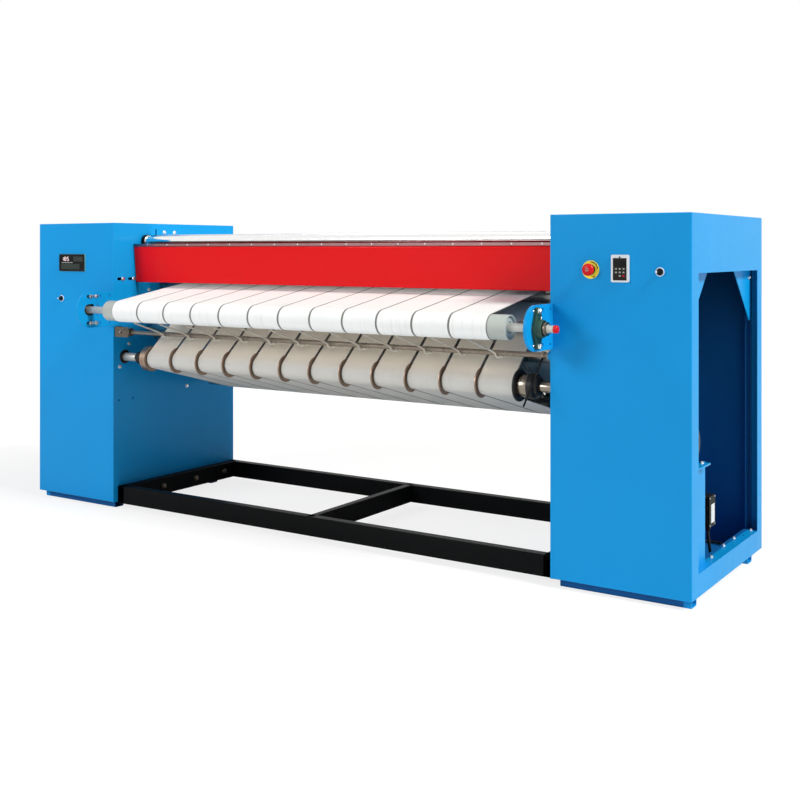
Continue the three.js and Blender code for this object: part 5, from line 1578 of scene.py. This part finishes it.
@dataclass
class Drum:
    """The heated drum: a shell with end plates and hollow journals."""

    radius: float = 195.0
    half: float = 1021.0
    recess: float = 6.0
    bolt_count: int = 12

    def build(self) -> None:
        """Makes the shell with its recessed end plates, journals and end bolts."""
        half, radius, plate = self.half, self.radius, self.half - self.recess
        profile = [(-1089, 20), (-1089, 34), (-plate, 34), (-plate, 176), (-half, 178),
                   (-half, radius), (half, radius), (half, 178), (plate, 176), (plate, 34),
                   (1139, 34), (1139, 20)]
        Shape().turned(profile, DRUM_AXIS, closed=True, ease=0.8, sides=128).piece(
            "drum_look", DRUM, "drum", Body.DRUM)
        heads = Shape()
        for n in range(self.bolt_count):
            at = around(*DRUM_AXIS, 160, 360 / self.bolt_count * n + 8)
            for side in (-1, 1):
                heads.bolt((side * plate, *at), RIGHT * side)
        heads.piece("drum_bolts", ZINC, body=Body.DRUM)


@dataclass
class DeliveryRoller:
    """The stepped roller at the front of the delivery belts, with guide rings between them."""

    ring: float = 54.0
    start: float = -870.5
    end: float = 892.5
    gap: float = 7.0

    def rings(self) -> list[Pair]:
        """Gives the profile of the guide rings, from left to right.

        Returns:
            Pairs of a place along the axis and a radius.
        """
        points: list[Pair] = []
        for n in range(1, BELT_COUNT):
            low = self.start + n * BELT_PITCH - self.gap + 1
            high = low + self.gap - 2
            points += [(low, DELIVERY_RADIUS), (low, self.ring - 1), (low + 1, self.ring),
                       (high - 1, self.ring), (high, self.ring - 1), (high, DELIVERY_RADIUS)]
        return points

    @staticmethod
    def turned(shape: Shape, *profile: Pair, **how: Any) -> Shape:
        """Adds a body turned about the roller's axis."""
        return shape.turned(profile, DELIVERY_AXIS, **how)

    def build(self) -> None:
        """Makes the tube with its rings, then the flange, collars, hubs and sleeve."""
        left, right, radius, ring = self.start - 1, self.end + 3, DELIVERY_RADIUS, self.ring
        body = Body.DELIVERY
        self.turned(Shape(), (left - 32, 22), (left - 32, 52.5), (left - 30.5, ring),
                    (left - 1, ring), (left, ring - 1), (left, radius), *self.rings(),
                    (right + 1, radius), (right + 1, 22), sides=96).piece(
                        "delivery_roller_look", RING_BROWN, "delivery_roller", body)
        black = Shape().ring((right, right + 8), (39, 56), DELIVERY_AXIS, ease=1.0, sides=96)
        self.turned(black, (right + 46, 31), (right + 46, 44), (right + 68, 44),
                    (right + 71, 34), (right + 82, 33), (right + 85, 28), (right + 85, 19.2),
                    (right + 60, 19.2), closed=True, ease=0.8)
        self.turned(black, (left - 86, 15), (left - 82, 28), (left - 54, 28), (left - 54, 15),
                    closed=True, ease=1.0)
        black.piece("delivery_roller_collars", BLACK_RUBBER, body=body)
        steel = Shape().rod((right + 7.5, right + 46.5), 40, DELIVERY_AXIS, ease=1.2)
        self.turned(steel, (right + 61, JOURNAL), (right + 61, 19), (PLATE_IN - 8, 19),
                    (PLATE_IN - 8, JOURNAL), (PLATE_OUT + 30, JOURNAL), ease=0.8)
        self.turned(steel, (-PLATE_OUT - 30, JOURNAL), (left - 96, JOURNAL), (left - 86, 22),
                    (left - 31, 22), ease=0.6)
        steel.piece("delivery_roller_steel", HUB, body=body)
        self.turned(Shape(), (-PLATE_IN + 4.4, JOURNAL), (-PLATE_IN + 4.4, 18),
                    (left - 97, 18), (left - 97, JOURNAL), ease=0.5).piece(
                        "delivery_roller_sleeve", SHAFT, body=body)


@dataclass
class BeltBed:
    """Twelve endless belts side by side round the same rollers."""

    prefix: str
    finish: BeltCloth
    rollers: tuple[tuple[Pair, float], ...]
    width: float
    centre: float = BELT_CENTRE
    thickness: float = 2.0
    step: int = 10

    def loop(self) -> list[Pair]:
        """Gives the belt's inner line round its rollers.

        Returns:
            Points on y and z in millimetres, all the way round.
        """
        part = bmesh.new()
        for (y, z), radius in self.rollers:
            reach = (radius + 0.55) / math.cos(math.radians(self.step / 4))
            for depth in (0.0, 1.0):
                bmesh.ops.create_circle(part, segments=720 // self.step, radius=reach,
                                        matrix=Matrix.Translation((y, z, depth)))
        bmesh.ops.convex_hull(part, input=part.verts[:])
        ring = {(v.co.x, v.co.y) for v in part.verts if v.link_faces and v.co.z < 0.5}
        part.free()
        middle_y, middle_z = (sum(p[n] for p in ring) / len(ring) for n in (0, 1))
        return sorted(ring, key=lambda p: math.atan2(p[1] - middle_z, p[0] - middle_y))

    def belt(self, middle: float) -> Shape:
        """Makes one belt.

        Args:
            middle: the middle of its width.

        Returns:
            Its shape, with a map of the cloth's run.
        """
        points = self.loop()
        part = bmesh.new()
        bmesh.ops.create_circle(part, segments=len(points), radius=1.0)
        for vert, (y, z) in zip(part.verts, points):
            vert.co = spot(middle - self.width / 2, y, z)
        edges = part.edges[:]
        for _ in range(3):
            made = bmesh.ops.extrude_edge_only(part, edges=edges)["geom"]
            verts = {item for item in made if isinstance(item, bmesh.types.BMVert)}
            edges = [item for item in made if isinstance(item, bmesh.types.BMEdge)
                     and verts.issuperset(item.verts)]
            bmesh.ops.translate(part, vec=(self.width / 3 * MM, 0, 0), verts=list(verts))
        self.mark_run(part, points, middle)
        bmesh.ops.recalc_face_normals(part, faces=part.faces)
        if max(part.faces, key=lambda f: f.calc_center_median().y).normal.y > 0:
            bmesh.ops.reverse_faces(part, faces=part.faces)
        bmesh.ops.solidify(part, geom=part.faces[:], thickness=self.thickness * MM)
        bmesh.ops.recalc_face_normals(part, faces=part.faces)
        return Shape(part)

    @staticmethod
    def mark_run(part: bmesh.types.BMesh, points: Sequence[Pair], middle: float) -> None:
        """Maps the cloth: u across the belt and v along it, in metres.

        Args:
            part: the belt's sheet.
            points: the belt's inner line.
            middle: the middle of its width, which also sets where its marks begin.
        """
        run = part.loops.layers.uv.new("run")
        lengths, total = {}, 0.0
        for here, following in zip(points, [*points[1:], points[0]]):
            lengths[spot(0, *here).yz.to_tuple(5)] = total
            total += math.dist(here, following)
        for face in part.faces:
            places = [lengths[loop.vert.co.yz.to_tuple(5)] for loop in face.loops]
            if max(places) - min(places) > total / 2:
                places = [place or total for place in places]
            for loop, place in zip(face.loops, places):
                loop[run].uv = (loop.vert.co.x - middle * MM, place * MM + middle)

    def build(self) -> None:
        """Makes all the bed's belts."""
        for n in range(BELT_COUNT):
            middle = self.centre + (n - (BELT_COUNT - 1) / 2) * BELT_PITCH
            name = f"{self.prefix}_{n + 1:02d}"
            self.belt(middle).piece(f"{name}_cloth", self.finish, name)


# ---------------------------------------------------------------- finger bar and guard


@dataclass
class FingerBar:
    """The turning bar with its bent-wire fingers and hand lever."""

    radius: float = 9.0
    ends: Pair = (-974.0, 1046.0)
    first: float = -753.25
    pitch: float = 144.3
    count: int = 12
    lever: float = 1013.0
    tip: Pair = (-130.0, 619.6)

    @staticmethod
    def finger(x: float) -> list[Vector]:
        """Gives the bends of one finger whose hook is at the given place along the bar.

        Args:
            x: the hook's place.

        Returns:
            The bends in metres, from the tip to the hook.
        """
        y, z = BAR_AXIS
        bends = ((-30, -130, 829), (0, y - 15.6, z - 2), (3, y - 14.2, z - 10),
                 (6, y - 9, z - 15), (10, y - 4, z - 15.2), (15, y - 1, z - 13.4),
                 (24, y, z - 11))
        return [spot(x + dx, py, pz) for dx, py, pz in bends]

    def build(self) -> None:
        """Makes the bar, its lever, and the wires with their clips."""
        bar, wires, clips = Shape(), Shape(), Shape()
        for span, radius in ((self.ends, self.radius), ((self.lever - 6, self.lever + 6), 13)):
            bar.rod(span, radius, BAR_AXIS, ease=0.8, sides=40)
        bar.piece("finger_bar_look", BAR, "finger_bar", Body.FINGERS)
        lever = [spot(self.lever, *end) for end in (BAR_AXIS, self.tip)]
        Shape().wire(lever, 3.5, False).piece("finger_lever", BLACK, body=Body.FINGERS)
        for n in range(self.count):
            x = self.first + n * self.pitch
            wires.wire(self.finger(x), 3.2, rounds=2)
            for middle in (x + 5, x + 22):
                clips.ring((middle - 2, middle + 2), (9.1, 9.9), BAR_AXIS, sides=28)
        wires.piece("finger_wires", WIRE, body=Body.FINGERS)
        clips.piece("finger_clips", BAR, body=Body.FINGERS)


@dataclass
class FingerBracket:
    """The slotted plate that carries the bar's left end."""

    middle: Pair = (-1003.85, 775.0)
    size: Pair = (85.7, 44.0)
    foot: float = 4.0

    def build(self) -> None:
        """Makes web, foot and lug, and the foot's bolt."""
        z = self.middle[1]
        low, high = z - self.size[1] / 2, z + self.size[1] / 2
        face = -WALL + self.foot
        shape = Shape().front(rounded(*self.middle, *self.size, 3), (5, 9), 0.5,
                              slot(-1012.7, z, 26, 11), round_hole(-981, z + 10, 3.5, 20))
        shape.block((-WALL, 5, low), (face, 45, high), 0.8)
        shape.ring((-967, -955), (9.4, 17), BAR_AXIS, ease=0.8, sides=48)
        shape.piece("finger_bracket_look", DARK, "finger_bracket_left")
        Shape().bolt((face, 33, z), RIGHT).piece("finger_bracket_bolt", ZINC)


@dataclass
class Guard:
    """The swinging red finger guard."""

    half: float = 1041.0
    height: float = 153.0
    knuckle: float = 5.0
    flange: float = 16.0
    sheet: float = 2.0
    tilt: float = 5.2

    def section(self) -> list[Pair]:
        """Gives the folded sheet's section, on y and z.

        Returns:
            The section's outline.
        """
        k, t, h = self.knuckle, self.sheet, self.height
        inner = math.sqrt(k * k - (k - t) ** 2)
        start = math.degrees(math.atan2(-inner, -k + t))
        local = [(-k, -h + 3), *arc(-k + 3, -h + 3, 3, 180, 270, 6), (-k + self.flange, -h),
                 (-k + self.flange, -h + t), (-k + t + 1.5, -h + t),
                 *arc(-k + t + 1.5, -h + t + 1.5, 1.5, 270, 180, 4),
                 *arc(0, 0, k, start, 180, 28)]
        return turned_by(math.radians(self.tilt), GUARD_AXIS, local)

    def build(self) -> None:
        """Makes the panel."""
        Shape().plate(self.section(), (-self.half, self.half), ease=0.3).piece(
            "guard_look", RED, "guard_panel", Body.GUARD)


@dataclass
class GuardRail:
    """The bright strip above the guard, with its screws."""

    low: float = 1146.3
    face: float = 116.0
    sheet: float = 3.0
    pitch: float = 120.0

    def section(self) -> list[Pair]:
        """Gives the angle's section, on y and z.

        Returns:
            The section's outline.
        """
        f, z, t = self.face, self.low, self.sheet
        return [*arc(f + 1.5, z + 1.5, 1.5, 180, 270, 5), (f + 30, z), (f + 30, z + t),
                (f + t + 1, z + t), *arc(f + t + 1, z + t + 1, 1, 270, 180, 3),
                (f + t, z + 12), (f, z + 12)]

    def build(self) -> None:
        """Makes the angle and a row of screws."""
        Shape().plate(self.section(), (-WALL, WALL), ease=0.3).piece(
            "guard_rail_look", RAIL, "guard_rail")
        screws = Shape()
        count = int(2 * WALL / self.pitch)
        for n in range(count):
            at = ((n - (count - 1) / 2) * self.pitch, self.low + 7.5)
            screws.turned([(self.face + 0.3, 3.2), (self.face - 0.5, 3.2),
                           (self.face - 1.3, 2.2)], at, Along.Y, sides=20)
        screws.piece("guard_rail_screws", ZINC)


@dataclass
class TopTube:
    """The polished tube across the machine, with its end collars."""

    radius: float = 21.0
    collar: float = 28.0

    def build(self) -> None:
        """Makes the tube, both collars and a ring inside each."""
        Shape().rod((-WALL + 1, WALL - 1), self.radius, TUBE_AXIS, sides=96).piece(
            "top_tube_look", POLISHED, "top_tube")
        ends, rings = Shape(), Shape()
        for side in (-1, 1):
            outer, inner, edge = (side * (WALL - inset) for inset in (0, 18, 20))
            ends.ring((outer, inner), (21.05, self.collar), TUBE_AXIS, ease=1.5)
            rings.ring((inner, edge), (21.2, 25), TUBE_AXIS, ease=0.4)
        ends.piece("top_tube_collars", BLACK_PLASTIC)
        rings.piece("top_tube_rings", ZINC)


@dataclass
class Hood:
    """The folded sheet over the drum."""

    sheet: float = 2.0
    front: float = 224.0
    back: float = 766.0
    top: float = 1199.0
    low: float = 600.0

    def section(self) -> list[Pair]:
        """Gives the sheet's section with round folds, on y and z.

        Returns:
            The section's outline.
        """
        f, b, top, low, t = self.front, self.back, self.top, self.low, self.sheet
        return [(f, top - 26), (f + t, top - 26), (f + t, top - t - 1),
                *arc(f + t + 1, top - t - 1, 1, 180, 90, 3),
                *arc(b - t - 1, top - t - 1, 1, 90, 0, 3), (b - t, low + t), (b - 20, low + t),
                (b - 20, low), *arc(b - 3, low + 3, 3, 270, 360, 5),
                *arc(b - 3, top - 3, 3, 0, 90, 5), *arc(f + 3, top - 3, 3, 90, 180, 5)]

    def build(self) -> None:
        """Makes the hood and its rivets."""
        Shape().plate(self.section(), (-WALL, WALL), ease=0.3).piece("hood_look", SHEET, "hood")
        rivets = Shape()
        for n in range(-4, 5):
            rivets.turned([(self.front + 0.3, 3), (self.front - 0.6, 2.6),
                           (self.front - 1.4, 1.4)], (n * 250, self.top - 13), Along.Y, sides=20)
        rivets.piece("hood_rivets", ZINC)


# ---------------------------------------------------------------- drive


@dataclass
class Sprocket:
    """A chain wheel."""

    name: str
    axis: Pair
    teeth: int
    bore: float
    body: Body

    @property
    def pitch(self) -> float:
        """The radius of the circle on which the gaps between the teeth lie."""
        return CHAIN_PITCH / (2 * math.sin(math.pi / self.teeth))

    def outline(self) -> list[Pair]:
        """Gives the toothed outline, with round gaps that the chain's rollers sit in.

        Returns:
            The outline on y and z.
        """
        points: list[Pair] = []
        for n in range(self.teeth):
            middle = 360 * (n + 0.5) / self.teeth
            points += arc(*around(*self.axis, self.pitch, middle), 6.6, middle - 95,
                          middle - 265, 8)
            points += [around(*self.axis, self.pitch + 4.3, middle + turn / self.teeth)
                       for turn in (153, 207)]
        return points

    def build(self) -> None:
        """Makes the wheel, with lightening holes if it's large or a hub if it's small."""
        large = self.teeth > 24
        holes = [round_hole(*self.axis, self.bore, 48)]
        if large:
            ring = (self.pitch + self.bore) / 2
            holes += [round_hole(*around(*self.axis, ring, 60 * n), ring / 4) for n in range(6)]
        wheel = Shape().plate(self.outline(), (1117, 1127), holes, ease=0.5)
        if not large:
            wheel.rod((1115, 1132.7), 16, self.axis, ease=1.0)
        wheel.piece(f"{self.name}_look", DARK, self.name, self.body)


@dataclass
class DriveChain:
    """The roller chain round both sprockets."""

    circles: tuple[tuple[Pair, float], ...] = ((MOTOR_AXIS, 57.27), (DRUM_AXIS, 153.91))
    rollers: Pair = (1115.0, 1129.0)
    links: tuple[tuple[Pair, Pair], ...] = (
        ((1113.0, 1114.6), (1129.4, 1131.0)), ((1114.8, 1116.2), (1127.8, 1129.2)))

    def line(self) -> list[Vector]:
        """Gives the closed line of the pins, on y and z in millimetres.

        Returns:
            Close points, round the small circle and then round the large one.
        """
        (a, small), (b, large) = self.circles
        way = Vector(b) - Vector(a)
        tilt = math.degrees(math.atan2(way.y, way.x))
        lean = math.degrees(math.acos((small - large) / way.length))
        return [Vector(place) for place in (
            *arc(*a, small, tilt + lean, tilt - lean + 360, 60),
            *arc(*b, large, tilt - lean, tilt + lean, 60))]

    def pins(self) -> list[Vector]:
        """Spreads an even number of pins along the line, as near the pitch as fits.

        Returns:
            The pins' places in order.
        """
        line = self.line()
        ends = [*line[1:], line[0]]
        spans = [(q - p).length for p, q in zip(line, ends)]
        count = 2 * round(sum(spans) / CHAIN_PITCH / 2)
        step = sum(spans) / count
        made, travelled, wanted = [], 0.0, 0.0
        for p, q, span in zip(line, ends, spans):
            while wanted < travelled + span - 1e-9 and len(made) < count:
                made.append(p.lerp(q, (wanted - travelled) / span))
                wanted += step
            travelled += span
        return made

    @staticmethod
    def link(start: Vector, end: Vector) -> list[Pair]:
        """Gives the waisted outline of the link between two pins.

        Args:
            start: the first pin's place.
            end: the second pin's place.

        Returns:
            The outline on y and z.
        """
        way = end - start
        half = way.length / 2
        local = [*arc(half, 0, 7.6, -60, 60, 8), (0, 5.2), *arc(-half, 0, 7.6, 120, 240, 8),
                 (0, -5.2)]
        return turned_by(math.atan2(way.y, way.x), (start + end) / 2, local)

    def build(self) -> None:
        """Makes rollers, inner links and outer links round the loop."""
        chain, pins = Shape(), self.pins()
        for n, (start, end) in enumerate(zip(pins, [*pins[1:], pins[0]])):
            chain.rod(self.rollers, 5.6, tuple(start), sides=14)
            for span in self.links[n % 2]:
                chain.plate(self.link(start, end), span)
        chain.piece("drive_chain_look", DARK, "drive_chain")


@dataclass
class GearMotor:
    """The ribbed motor with its gearbox, on the shelf."""

    ribs: int = 22
    box: float = 136.0
    box_end: float = 1279.0

    def build(self) -> None:
        """Makes gearbox, barrel with ribs, cowl, terminal box, nose and screws."""
        y, z = MOTOR_AXIS
        motor = Shape().plate(rounded(y, z, self.box, self.box, 14), (1149, self.box_end),
                              ease=2.5)
        motor.turned([(1133, 17), (1133, 44), (1151, 50)], MOTOR_AXIS, ease=1.5)
        motor.rod((1277, 1447), 57, MOTOR_AXIS)
        for n in range(self.ribs):
            angle = 2 * math.pi * n / self.ribs
            cy, cz = y - 57.5 * math.sin(angle), z + 57.5 * math.cos(angle)
            motor.block((1277, cy - 1.4, cz - 4.5), (1444, cy + 1.4, cz + 4.5), 0.5, 1,
                        Matrix.Rotation(angle, 4, "X"))
        motor.turned([(1442.3, 61), (1442.3, 65), (1494.3, 65), (1500, 60), (1502.3, 54),
                      (1502.3, 30), (1500, 28)], MOTOR_AXIS, ease=1.0)
        motor.block((1320.6, 78, 542.3), (1400.6, 158, 600), 3, 3)
        motor.block((1318.6, 76.5, 598), (1402.6, 159.5, 604.3), 2, 2)
        motor.piece("gear_motor_look", MOTOR, "gear_motor")
        heads = Shape()
        for at in corners(y, z, 56, 56):
            heads.bolt((self.box_end, *at), RIGHT, 7.0)
        for at in corners(1360.6, y, 34, 34):
            heads.rod((603.6, 605.4), 3, at, along=Along.Z, sides=18)
        heads.piece("gear_motor_screws", ZINC)


# ---------------------------------------------------------------- controls


@dataclass
class EmergencyStop:
    """The red mushroom on its yellow disc."""

    place: Pair = (1192.8, 1067.0)

    def ring(self, *profile: Pair, ease: float = 0.0, sides: int) -> Shape:
        """Makes a ring round the mushroom's axis from its closed profile."""
        return Shape().turned(profile, self.place, Along.Y, closed=True, ease=ease, sides=sides)

    def build(self) -> None:
        """Makes disc, collar, mushroom, its pale mark and the ring of dashes."""
        self.ring((-0.3, 11.8), (-0.3, 30), (-2, 30), (-2.6, 29), (-2.6, 11.8), ease=0.3,
                  sides=96).piece("estop_disc", YELLOW, "estop_base")
        self.ring((-2.5, 11.8), (-2.5, 17), (-10.5, 17), (-12, 15.8), (-12, 11.8), ease=0.5,
                  sides=72).piece("estop_collar", BLACK_PLASTIC)
        head = [(-5.4, 11), (-17, 11), (-18, 17.6), (-20, 20), (-25.5, 20), (-28.5, 17.8),
                (-30.6, 12), (-31.9, 7.5), (-32, 6.8), (-31.4, 6.4), (-31.4, 0)]
        Shape().turned(head, self.place, Along.Y, sides=96, ease=0.5).piece(
            "estop_head", STOP_RED, "estop_button", Body.STOP)
        self.ring((-31.35, 5.6), (-31.9, 5.4), (-31.9, 3.4), (-31.35, 3.2), sides=48).piece(
            "estop_mark", KEY, body=Body.STOP)
        dashes = Shape()
        for angle in (*range(12, 92, 10), -66, -56):
            middle = around(*self.place, 26, angle)
            dashes.front(rounded(*middle, 4.2, 3.6, 0.9), (-3.0, -2.5))
        dashes.piece("estop_dashes", BLACK_PLASTIC)


@dataclass
class Keypad:
    """The watertight keypad with its small display."""

    x: float = 1296.3
    z: float = 1071.0

    def build(self) -> None:
        """Makes frame, face, display and keys; a grid place stays empty, another is red."""
        x, z = self.x, self.z
        window = rounded(x, z - 1.8, 47.4, 72.4, 2)
        Shape().front(rounded(x + 0.6, z + 0.6, 61, 89, 5), (-7.3, -0.3), 1.2, window).piece(
            "keypad_frame", PALE, "keypad")
        Shape().front(window, (-6.1, -0.5)).piece("keypad_face", FACE)
        screen = Shape().front(rounded(x + 1, z + 17, 39, 21, 1.5), (-6.8, -6.0), 0.3)
        screen.front(rounded(x, z + 37, 6, 4.5, 1.5), (-7.5, -7.0))
        screen.piece("keypad_screen", BLACK_PLASTIC)
        pale, red = Shape(), Shape()
        for row, column in ((r, c) for r in range(3) for c in range(3) if (r, c) != (2, 0)):
            target = red if (row, column) == (2, 2) else pale
            target.front(rounded(x + (column - 1) * 13, z - 0.6 - row * 11.4, 6.6, 5, 1.4),
                         (-7.0, -5.9), 0.5)
        pale.piece("keypad_keys", KEY)
        red.piece("keypad_red_key", STOP_RED)


@dataclass
class Selector:
    """A two-position turning switch."""

    place: Pair
    name: str
    body: Body

    def build(self) -> None:
        """Makes the disc, its grip with a pale mark, and the trim ring."""
        x, z = self.place
        knob = Shape().turned([(2, 6), (-4.3, 6), (-4.3, 11), (-8.3, 10.4)], self.place,
                              Along.Y, ease=0.6, sides=64)
        knob.front(rounded(x, z, 20.8, 6, 2.6), (-17.3, -7.8), 0.9)
        knob.piece(f"{self.name}_look", BLACK_PLASTIC, self.name, self.body)
        Shape().front(rounded(x - 7.2, z, 6, 6.4, 1), (-17.7, -9.0), 0.4).piece(
            f"{self.name}_mark", PALE, body=self.body)
        Shape().turned([(-3.6, 11.8), (-4.25, 12), (-4.25, 12.9), (-2.6, 14.7), (-2.2, 14.7)],
                       self.place, Along.Y, closed=True, sides=64).piece(
                           f"{self.name}_ring", PALE)


@dataclass
class Controller:
    """The temperature controller with its lit digits."""

    x: float = -1306.8
    z: float = 1074.0
    reading: str = "185"
    segments: tuple[str, ...] = ("abcdef", "bc", "abged", "abgcd", "fgbc", "afgcd", "afgedc",
                                 "abc", "abcdefg", "abcdfg")

    def digit(self, target: Shape, symbol: str, x: float, z: float, height: float) -> None:
        """Adds one seven-segment digit.

        Args:
            target: the shape that takes it.
            symbol: the digit.
            x: its left edge.
            z: its lower edge.
            height: its height.
        """
        w, h, t = height * 0.66, height / 2, height * 0.13
        bars = {"a": (0, 2 * h, w, 0), "b": (w, h, 0, h), "c": (w, 0, 0, h), "d": (0, 0, w, 0),
                "e": (0, 0, 0, h), "f": (0, h, 0, h), "g": (0, h, w, 0)}
        for name in self.segments[int(symbol)]:
            u, v, du, dv = bars[name]
            target.front(rounded(x + u + du / 2, z + v + dv / 2, max(du - t, t),
                                 max(dv - t, t), t * 0.3, 2), (-7.0, -6.2))

    def build(self) -> None:
        """Makes housing, a rim that is a painted highlight on its edge, digits, small bars,
        panels and keys.
        """
        x, z = self.x, self.z
        body = Shape().front(rounded(x, z, 164, 76, 4), (-8.3, -0.3), 0.8,
                             rounded(x, z, 150, 62, 2))
        body.front(rounded(x, z, 151, 63, 2), (-6.3, -0.5))
        body.block((x - 76, -1.3, z - 33), (x + 76, 82, z + 33), 1.0)
        body.piece("controller_look", BLACK_PLASTIC, "temperature_controller")
        # Painted highlight: a pale teal rim round the housing's lit edge.
        Shape().front(rounded(x, z, 166, 78, 4.5), (-5.0, -0.3), 0.0,
                      rounded(x, z, 163, 75, 4)).piece("controller_highlight_rim", HIGHLIGHT_RIM)
        lit, names, lower = Shape(), Shape(), Shape()
        for n, symbol in enumerate(self.reading):
            self.digit(lit, symbol, x - 66 + n * 17.5, z + 9, 16)
        lit.piece("controller_digits", DIGITS)
        for n in range(4):
            names.front(rounded(x - 59 + n * 19, z + 0.5, 15, 3.6, 1), (-6.9, -6.2))
        names.piece("controller_names", KEY)
        for panel in ((x - 12, z - 17, 124, 24, 2), (x + 40, z + 17, 60, 22, 2)):
            lower.front(rounded(*panel), (-6.8, -6.2), 0.3)
        for n in range(4):
            lower.front(rounded(x - 56 + n * 27, z - 17, 19, 12, 2), (-7.6, -6.7), 0.4)
        lower.piece("controller_keys", PANEL)


@dataclass
class ControlBox:
    """The black switch box with its blank label, on a pedestal."""

    y: float = 378.0
    z: float = 237.8

    def build(self) -> None:
        """Makes the box, its lid, label and screws, its post and the cable's sleeve."""
        outline = rounded(self.y, self.z, 64, 107, 5)
        box = Shape().plate(outline, (1398.3, 1470.3), ease=1.5)
        box.plate(outline, (1471, 1476.3), ease=1.5)
        box.block((1402.3, 358, 32.3), (1432.3, 398, 186), 1.5)
        box.turned([(184.6, 5.4), (184.6, 9), (178, 9), (166, 6.4), (166, 5.4)],
                   CABLE_ENTRY[:2], Along.Z, closed=True, ease=0.6, sides=32)
        box.piece("control_box_look", BLACK_PLASTIC, "control_box")
        Shape().plate(rounded(self.y + 4, self.z - 8, 36, 64, 2), (1476.2, 1476.7)).piece(
            "control_box_label", PALE)
        screws = Shape()
        for at in corners(self.y, self.z, 26, 47):
            screws.turned([(1475.8, 3), (1477.2, 2.6)], at, sides=18)
        screws.piece("control_box_screws", ZINC)


@dataclass
class Ironer:
    """The whole machine."""

    parts: tuple[Any, ...] = (
        SidePlates(), LeftCabinet(), RightCabinet(), FootRails(), BaseFrame(), FeedRoller(),
        FeedBearing(-1, "feed_bearing_left"), FeedBearing(1, "feed_bearing_right"),
        PlainRoller("nip_roller", NIP_AXIS, NIP_RADIUS, Body.NIP),
        PlainRoller("nose_roller", NOSE_AXIS, NOSE_RADIUS, Body.NOSE),
        PlainRoller("tail_roller", TAIL_AXIS, TAIL_RADIUS, Body.TAIL),
        Drum(), DeliveryRoller(),
        BeltBed("feed_belt", FEED_CLOTH, ((FEED_AXIS, FEED_RADIUS), (NIP_AXIS, NIP_RADIUS)),
                144.0),
        BeltBed("delivery_belt", DELIVERY_CLOTH,
                ((DELIVERY_AXIS, DELIVERY_RADIUS), (TAIL_AXIS, TAIL_RADIUS),
                 (NOSE_AXIS, NOSE_RADIUS)), 140.5, BELT_CENTRE - 4),
        FingerBar(), FingerBracket(), Guard(), GuardRail(), TopTube(), Hood(),
        Sprocket("motor_sprocket", MOTOR_AXIS, 12, 14, Body.MOTOR_SHAFT),
        Sprocket("drum_sprocket", DRUM_AXIS, 36, 34.6, Body.DRUM),
        DriveChain(), GearMotor(), EmergencyStop(), Keypad(),
        Selector(SELECTOR_RIGHT, "selector_knob_right", Body.SELECTOR_RIGHT),
        Selector(SELECTOR_LEFT, "selector_knob_left", Body.SELECTOR_LEFT),
        Controller(), ControlBox())

    def build(self) -> None:
        """Makes every part in turn."""
        for part in self.parts:
            part.build()


def main() -> None:
    """Makes the studio, the cable and the machine."""
    logging.basicConfig(level=logging.INFO, format="%(name)s: %(message)s")
    Studio().build()
    ControlCable().build()
    Ironer().build()


if __name__ == "__main__":
    main()
